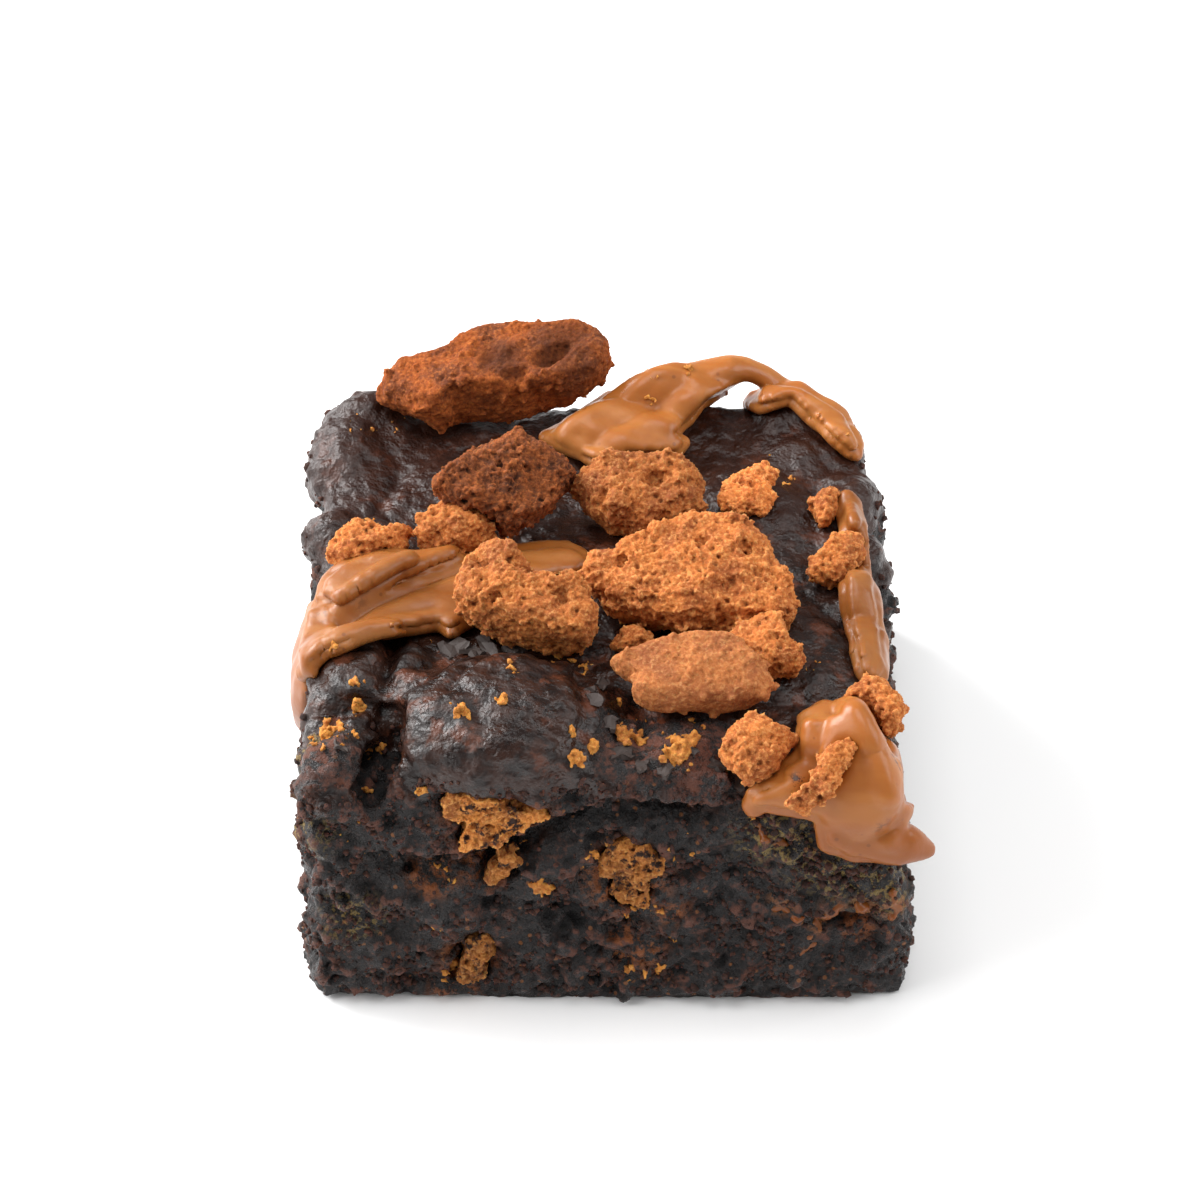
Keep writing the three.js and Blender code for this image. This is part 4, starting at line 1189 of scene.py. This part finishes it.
class BuildBiscuits(Operator):
    """Makes the broken pieces of biscuit, on top and in the crumb"""

    bl_idname = "brownie.build_biscuits"
    bl_label = "Build biscuits"

    def execute(self, context):
        sizes, colours = brownie(context).biscuit, brownie(context).colours
        plain = biscuit_finish(
            "Baked biscuit", colours.biscuit_light, colours.biscuit, colours.biscuit_dark,
        )
        inside = special_biscuit("Biscuit in crumb", crumbed=0.62)
        dark = special_biscuit("Dark biscuit")
        brown = special_biscuit("Brown biscuit", scorched=BACK_BISCUIT_SHADE_SPOTS)
        skin = special_biscuit("Biscuit skin")
        special = {"biscuit_dark": dark, "biscuit_back": brown, "biscuit_front": skin}
        trees = {
            finish.name: (crag_tree(finish), lumpy_tree("Clumps " + finish.name, finish), grain_tree(finish))
            for finish in (plain, inside, dark, brown, skin)
        }
        for index, node in enumerate(BISCUITS + INCLUSIONS):
            baked_in = node in INCLUSIONS
            finish = inside if baked_in else special.get(node, plain)
            crags, clumps, grains = trees[finish.name]
            flat = FLATTER.get(node, 1.0)
            piece = copy_of(node, COARSE * sizes.facet, "dressed_" + node)
            points = points_of(piece.data)
            patches = 0.3 + 0.7 * step(-0.3, 0.2, rolling(points, 3 * MM, index))
            set_share(piece.data, "share", patches * flat)
            add_tree(
                piece, crags, crag=sizes.crag, crag_depth=sizes.crag_depth * (1.6 if baked_in else flat),
                pore=sizes.pore, pore_depth=sizes.pore_depth * (1.3 if baked_in else 0.5 * flat),
                swell=sizes.swell * (0.4 if baked_in else 1.0),
            )
            add_tree(
                piece, clumps, density=sizes.clump_density / SQUARE_CM, smallest=0.35 * MM,
                largest=sizes.clump, seed=index,
            )
            add_remesh(piece, sizes.facet)
            add_tree(
                piece, grains, grain=sizes.grain * (0.35 + 0.65 * flat),
                grain_depth=sizes.grain_depth * (0.1 + 0.9 * flat),
            )
            bake(piece)
            set_even(piece, "tone", TONES.get(node, 1.0))
            keep(piece, "dark_biscuit" if node == "biscuit_dark" else "biscuit", node)
        return {"FINISHED"}


class BuildSpread(Operator):
    """Makes the smears of biscuit spread, and its streaks in the front cut"""

    bl_idname = "brownie.build_spread"
    bl_label = "Build spread"

    def execute(self, context):
        sizes, colours = brownie(context).spread, brownie(context).colours
        finish = spread_finish(colours)
        tree = spread_tree(finish)
        relief = {"ripple": sizes.ripple, "ripple_depth": sizes.ripple_depth, "swell": sizes.swell}
        for node in SPREADS:
            piece = copy_of(node, sizes.facet, "dressed_" + node)
            crease(piece.data, SPREAD_FOLDS[node], 24 * MM)
            smooth = piece.modifiers.new("Smooth", "SMOOTH")
            smooth.factor = 0.5
            smooth.iterations = SPREAD_ROUNDS
            add_tree(piece, tree, **relief)
            bake(piece)
            set_even(piece, "tone", TONES[node])
            keep(piece, "spread", node)
        grains = streak_grains(surface_of("cake"), random.Random(11))
        level = {"ripple": 3 * MM, "ripple_depth": 0, "swell": 0}
        streaks = fused("spread_streaks", grains, sizes.streak_facet, finish, 3, tree, **level)
        set_even(streaks, "tone", TONES["spread_streaks"])
        keep(streaks, "spread")
        return {"FINISHED"}


class ScatterCrumbs(Operator):
    """Scatters loose crumbs over the cut faces, the crust and the spread"""

    bl_idname = "brownie.scatter_crumbs"
    bl_label = "Scatter crumbs"

    def execute(self, context):
        sizes = brownie(context).crumbs
        cake = bpy.data.objects["cake"]
        dark, pale = special_biscuit("Loose cake crumb"), special_biscuit("Loose biscuit crumb")
        loose = new_object("loose_cake_crumbs", cake.data.copy())
        points, normals = points_of(loose.data), points_of(loose.data, "normal")
        wall = step(0.75, 0.3, np.abs(normals[:, 2])) * step(36 * MM, 33 * MM, points[:, 2])
        wall *= 1 - 0.7 * step(0.4, 0.8, np.abs(normals[:, 0]))
        patches = 0.25 + step(-0.1, 0.35, rolling(points, 4.5 * MM)) + step(29 * MM, 32 * MM, points[:, 2])
        wall = wall * np.minimum(patches, 1) * step(0.5 * MM, 2 * MM, points[:, 2])
        set_share(loose.data, "share", wall)
        add_tree(
            loose, lumpy_tree("Loose cake crumbs", dark, alone=True), density=sizes.wall_density / SQUARE_CM,
            smallest=0.3 * MM, largest=sizes.wall_crumb, seed=sizes.seed,
        )
        bake(loose)
        set_even(loose, "hollow", 0.0)
        set_even(loose, "tone", 1.0)
        keep(loose, "crumb")
        crust = surface_of("cake")
        spots = [(cast(crust, [value * MM for value in spot], False), long * MM) for spot, long in FLAKES]
        lift = Vector((0, 0, sizes.flake_lift))
        chips = scattered("crust_flakes", [(hit + lift, long) for hit, long in spots])
        add_tree(chips, flake_tree(cake.data.materials[0]))
        bake(chips)
        # The flakes count as raised: the finish gives them no painted hollow shade and partly paints them
        # with the light crumb, as painted light on raised parts.
        for name, value in (("crust", 0.2), ("hollow", -0.8), ("recess", 0.0)):
            set_even(chips, name, value)
        keep(chips, "crumb")
        chips.data.shade_flat()
        surface = surface_of("cake", *["dressed_" + node for node in SPREADS])
        draw = random.Random(sizes.seed)
        grains = crumb_grains(surface, FALLEN_CRUMBS, False, draw)
        grains += crumb_grains(surface, CUT_CRUMBS, True, draw)
        relief = {"grain": sizes.grain, "grain_depth": sizes.grain_depth}
        crumbs = fused("biscuit_crumbs", grains, sizes.facet, pale, 0, grain_tree(pale), **relief)
        set_even(crumbs, "tone", 1.0)
        keep(crumbs, "biscuit")
        return {"FINISHED"}


def soft_light(name, place, across, power):
    """A square light that faces the brownie."""
    lamp = bpy.data.lights.new(name, "AREA")
    lamp.shape = "RECTANGLE"
    lamp.size = lamp.size_y = across
    lamp.energy = power
    light = new_object(name, lamp)
    light.location = place
    light.rotation_euler = (Vector(LIT_POINT) - Vector(place)).to_track_quat("-Z", "Y").to_euler()


class SetStage(Operator):
    """Sets the floor, the soft lights and the camera"""

    bl_idname = "brownie.set_stage"
    bl_label = "Set stage"

    def execute(self, context):
        stage, scene = brownie(context).stage, context.scene
        mesh = bpy.data.meshes.new("floor")
        reach = FLOOR_REACH
        corners = [(-reach, -reach, 0), (reach, -reach, 0), (reach, reach, 0), (-reach, reach, 0)]
        mesh.from_pydata(corners, [], [(0, 1, 2, 3)])
        floor = new_object("floor", mesh)
        paint, _, shader, _ = new_finish("Floor", Roughness=0.9, Specular_IOR_Level=0.1)
        shader.inputs["Base Color"].default_value = (*stage.floor, 1)
        mesh.materials.append(paint)
        target = Vector((0, 0, stage.target))
        back = Vector((0, -math.cos(stage.tilt), math.sin(stage.tilt)))
        lens = bpy.data.cameras.new("camera")
        lens.sensor_width = 36
        lens.lens = stage.lens
        lens.clip_start = 0.01
        camera = new_object("camera", lens)
        camera.location = target + back * stage.distance
        camera.rotation_euler = (-back).to_track_quat("-Z", "Y").to_euler()
        scene.camera = camera
        for light in LIGHTS:
            soft_light(*light)
        world = bpy.data.worlds.new("white room")
        world.use_nodes = True
        background = world.node_tree.nodes["Background"]
        background.inputs["Color"].default_value = (1, 1, 1, 1)
        background.inputs["Strength"].default_value = stage.room
        scene.world = world
        scene.view_settings.view_transform = "Standard"
        return {"FINISHED"}


class BrowniePanel(Panel):
    """Lists the steps and the sizes"""

    bl_idname = "VIEW3D_PT_brownie"
    bl_label = "Brownie"
    bl_space_type = "VIEW_3D"
    bl_region_type = "UI"
    bl_category = "Brownie"

    def draw(self, context):
        for step_class in STEPS:
            self.layout.operator(step_class.bl_idname)
        settings = brownie(context)
        for group in ("cake", "biscuit", "spread", "crumbs", "colours", "stage"):
            box = self.layout.box()
            box.label(text=group.capitalize())
            for name in getattr(settings, group).bl_rna.properties.keys():
                if name not in ("rna_type", "name"):
                    box.prop(getattr(settings, group), name)


class BrownieSettings(PropertyGroup):
    cake: PointerProperty(type=CakeSizes)
    biscuit: PointerProperty(type=BiscuitSizes)
    spread: PointerProperty(type=SpreadSizes)
    crumbs: PointerProperty(type=CrumbSizes)
    colours: PointerProperty(type=FoodColours)
    stage: PointerProperty(type=StageSettings)


STEPS = (BuildCake, BuildBiscuits, BuildSpread, ScatterCrumbs, SetStage)
SETTINGS = (CakeSizes, BiscuitSizes, SpreadSizes, CrumbSizes, FoodColours, StageSettings, BrownieSettings)
CLASSES = (*SETTINGS, *STEPS, BrowniePanel)


def register():
    for one in CLASSES:
        bpy.utils.register_class(one)
    bpy.types.Scene.brownie = PointerProperty(type=BrownieSettings)


def unregister():
    del bpy.types.Scene.brownie
    for one in reversed(CLASSES):
        bpy.utils.unregister_class(one)


def main():
    register()
    bpy.ops.brownie.build_cake()
    bpy.ops.brownie.build_biscuits()
    bpy.ops.brownie.build_spread()
    bpy.ops.brownie.scatter_crumbs()
    bpy.ops.brownie.set_stage()


if __name__ == "__main__":
    main()
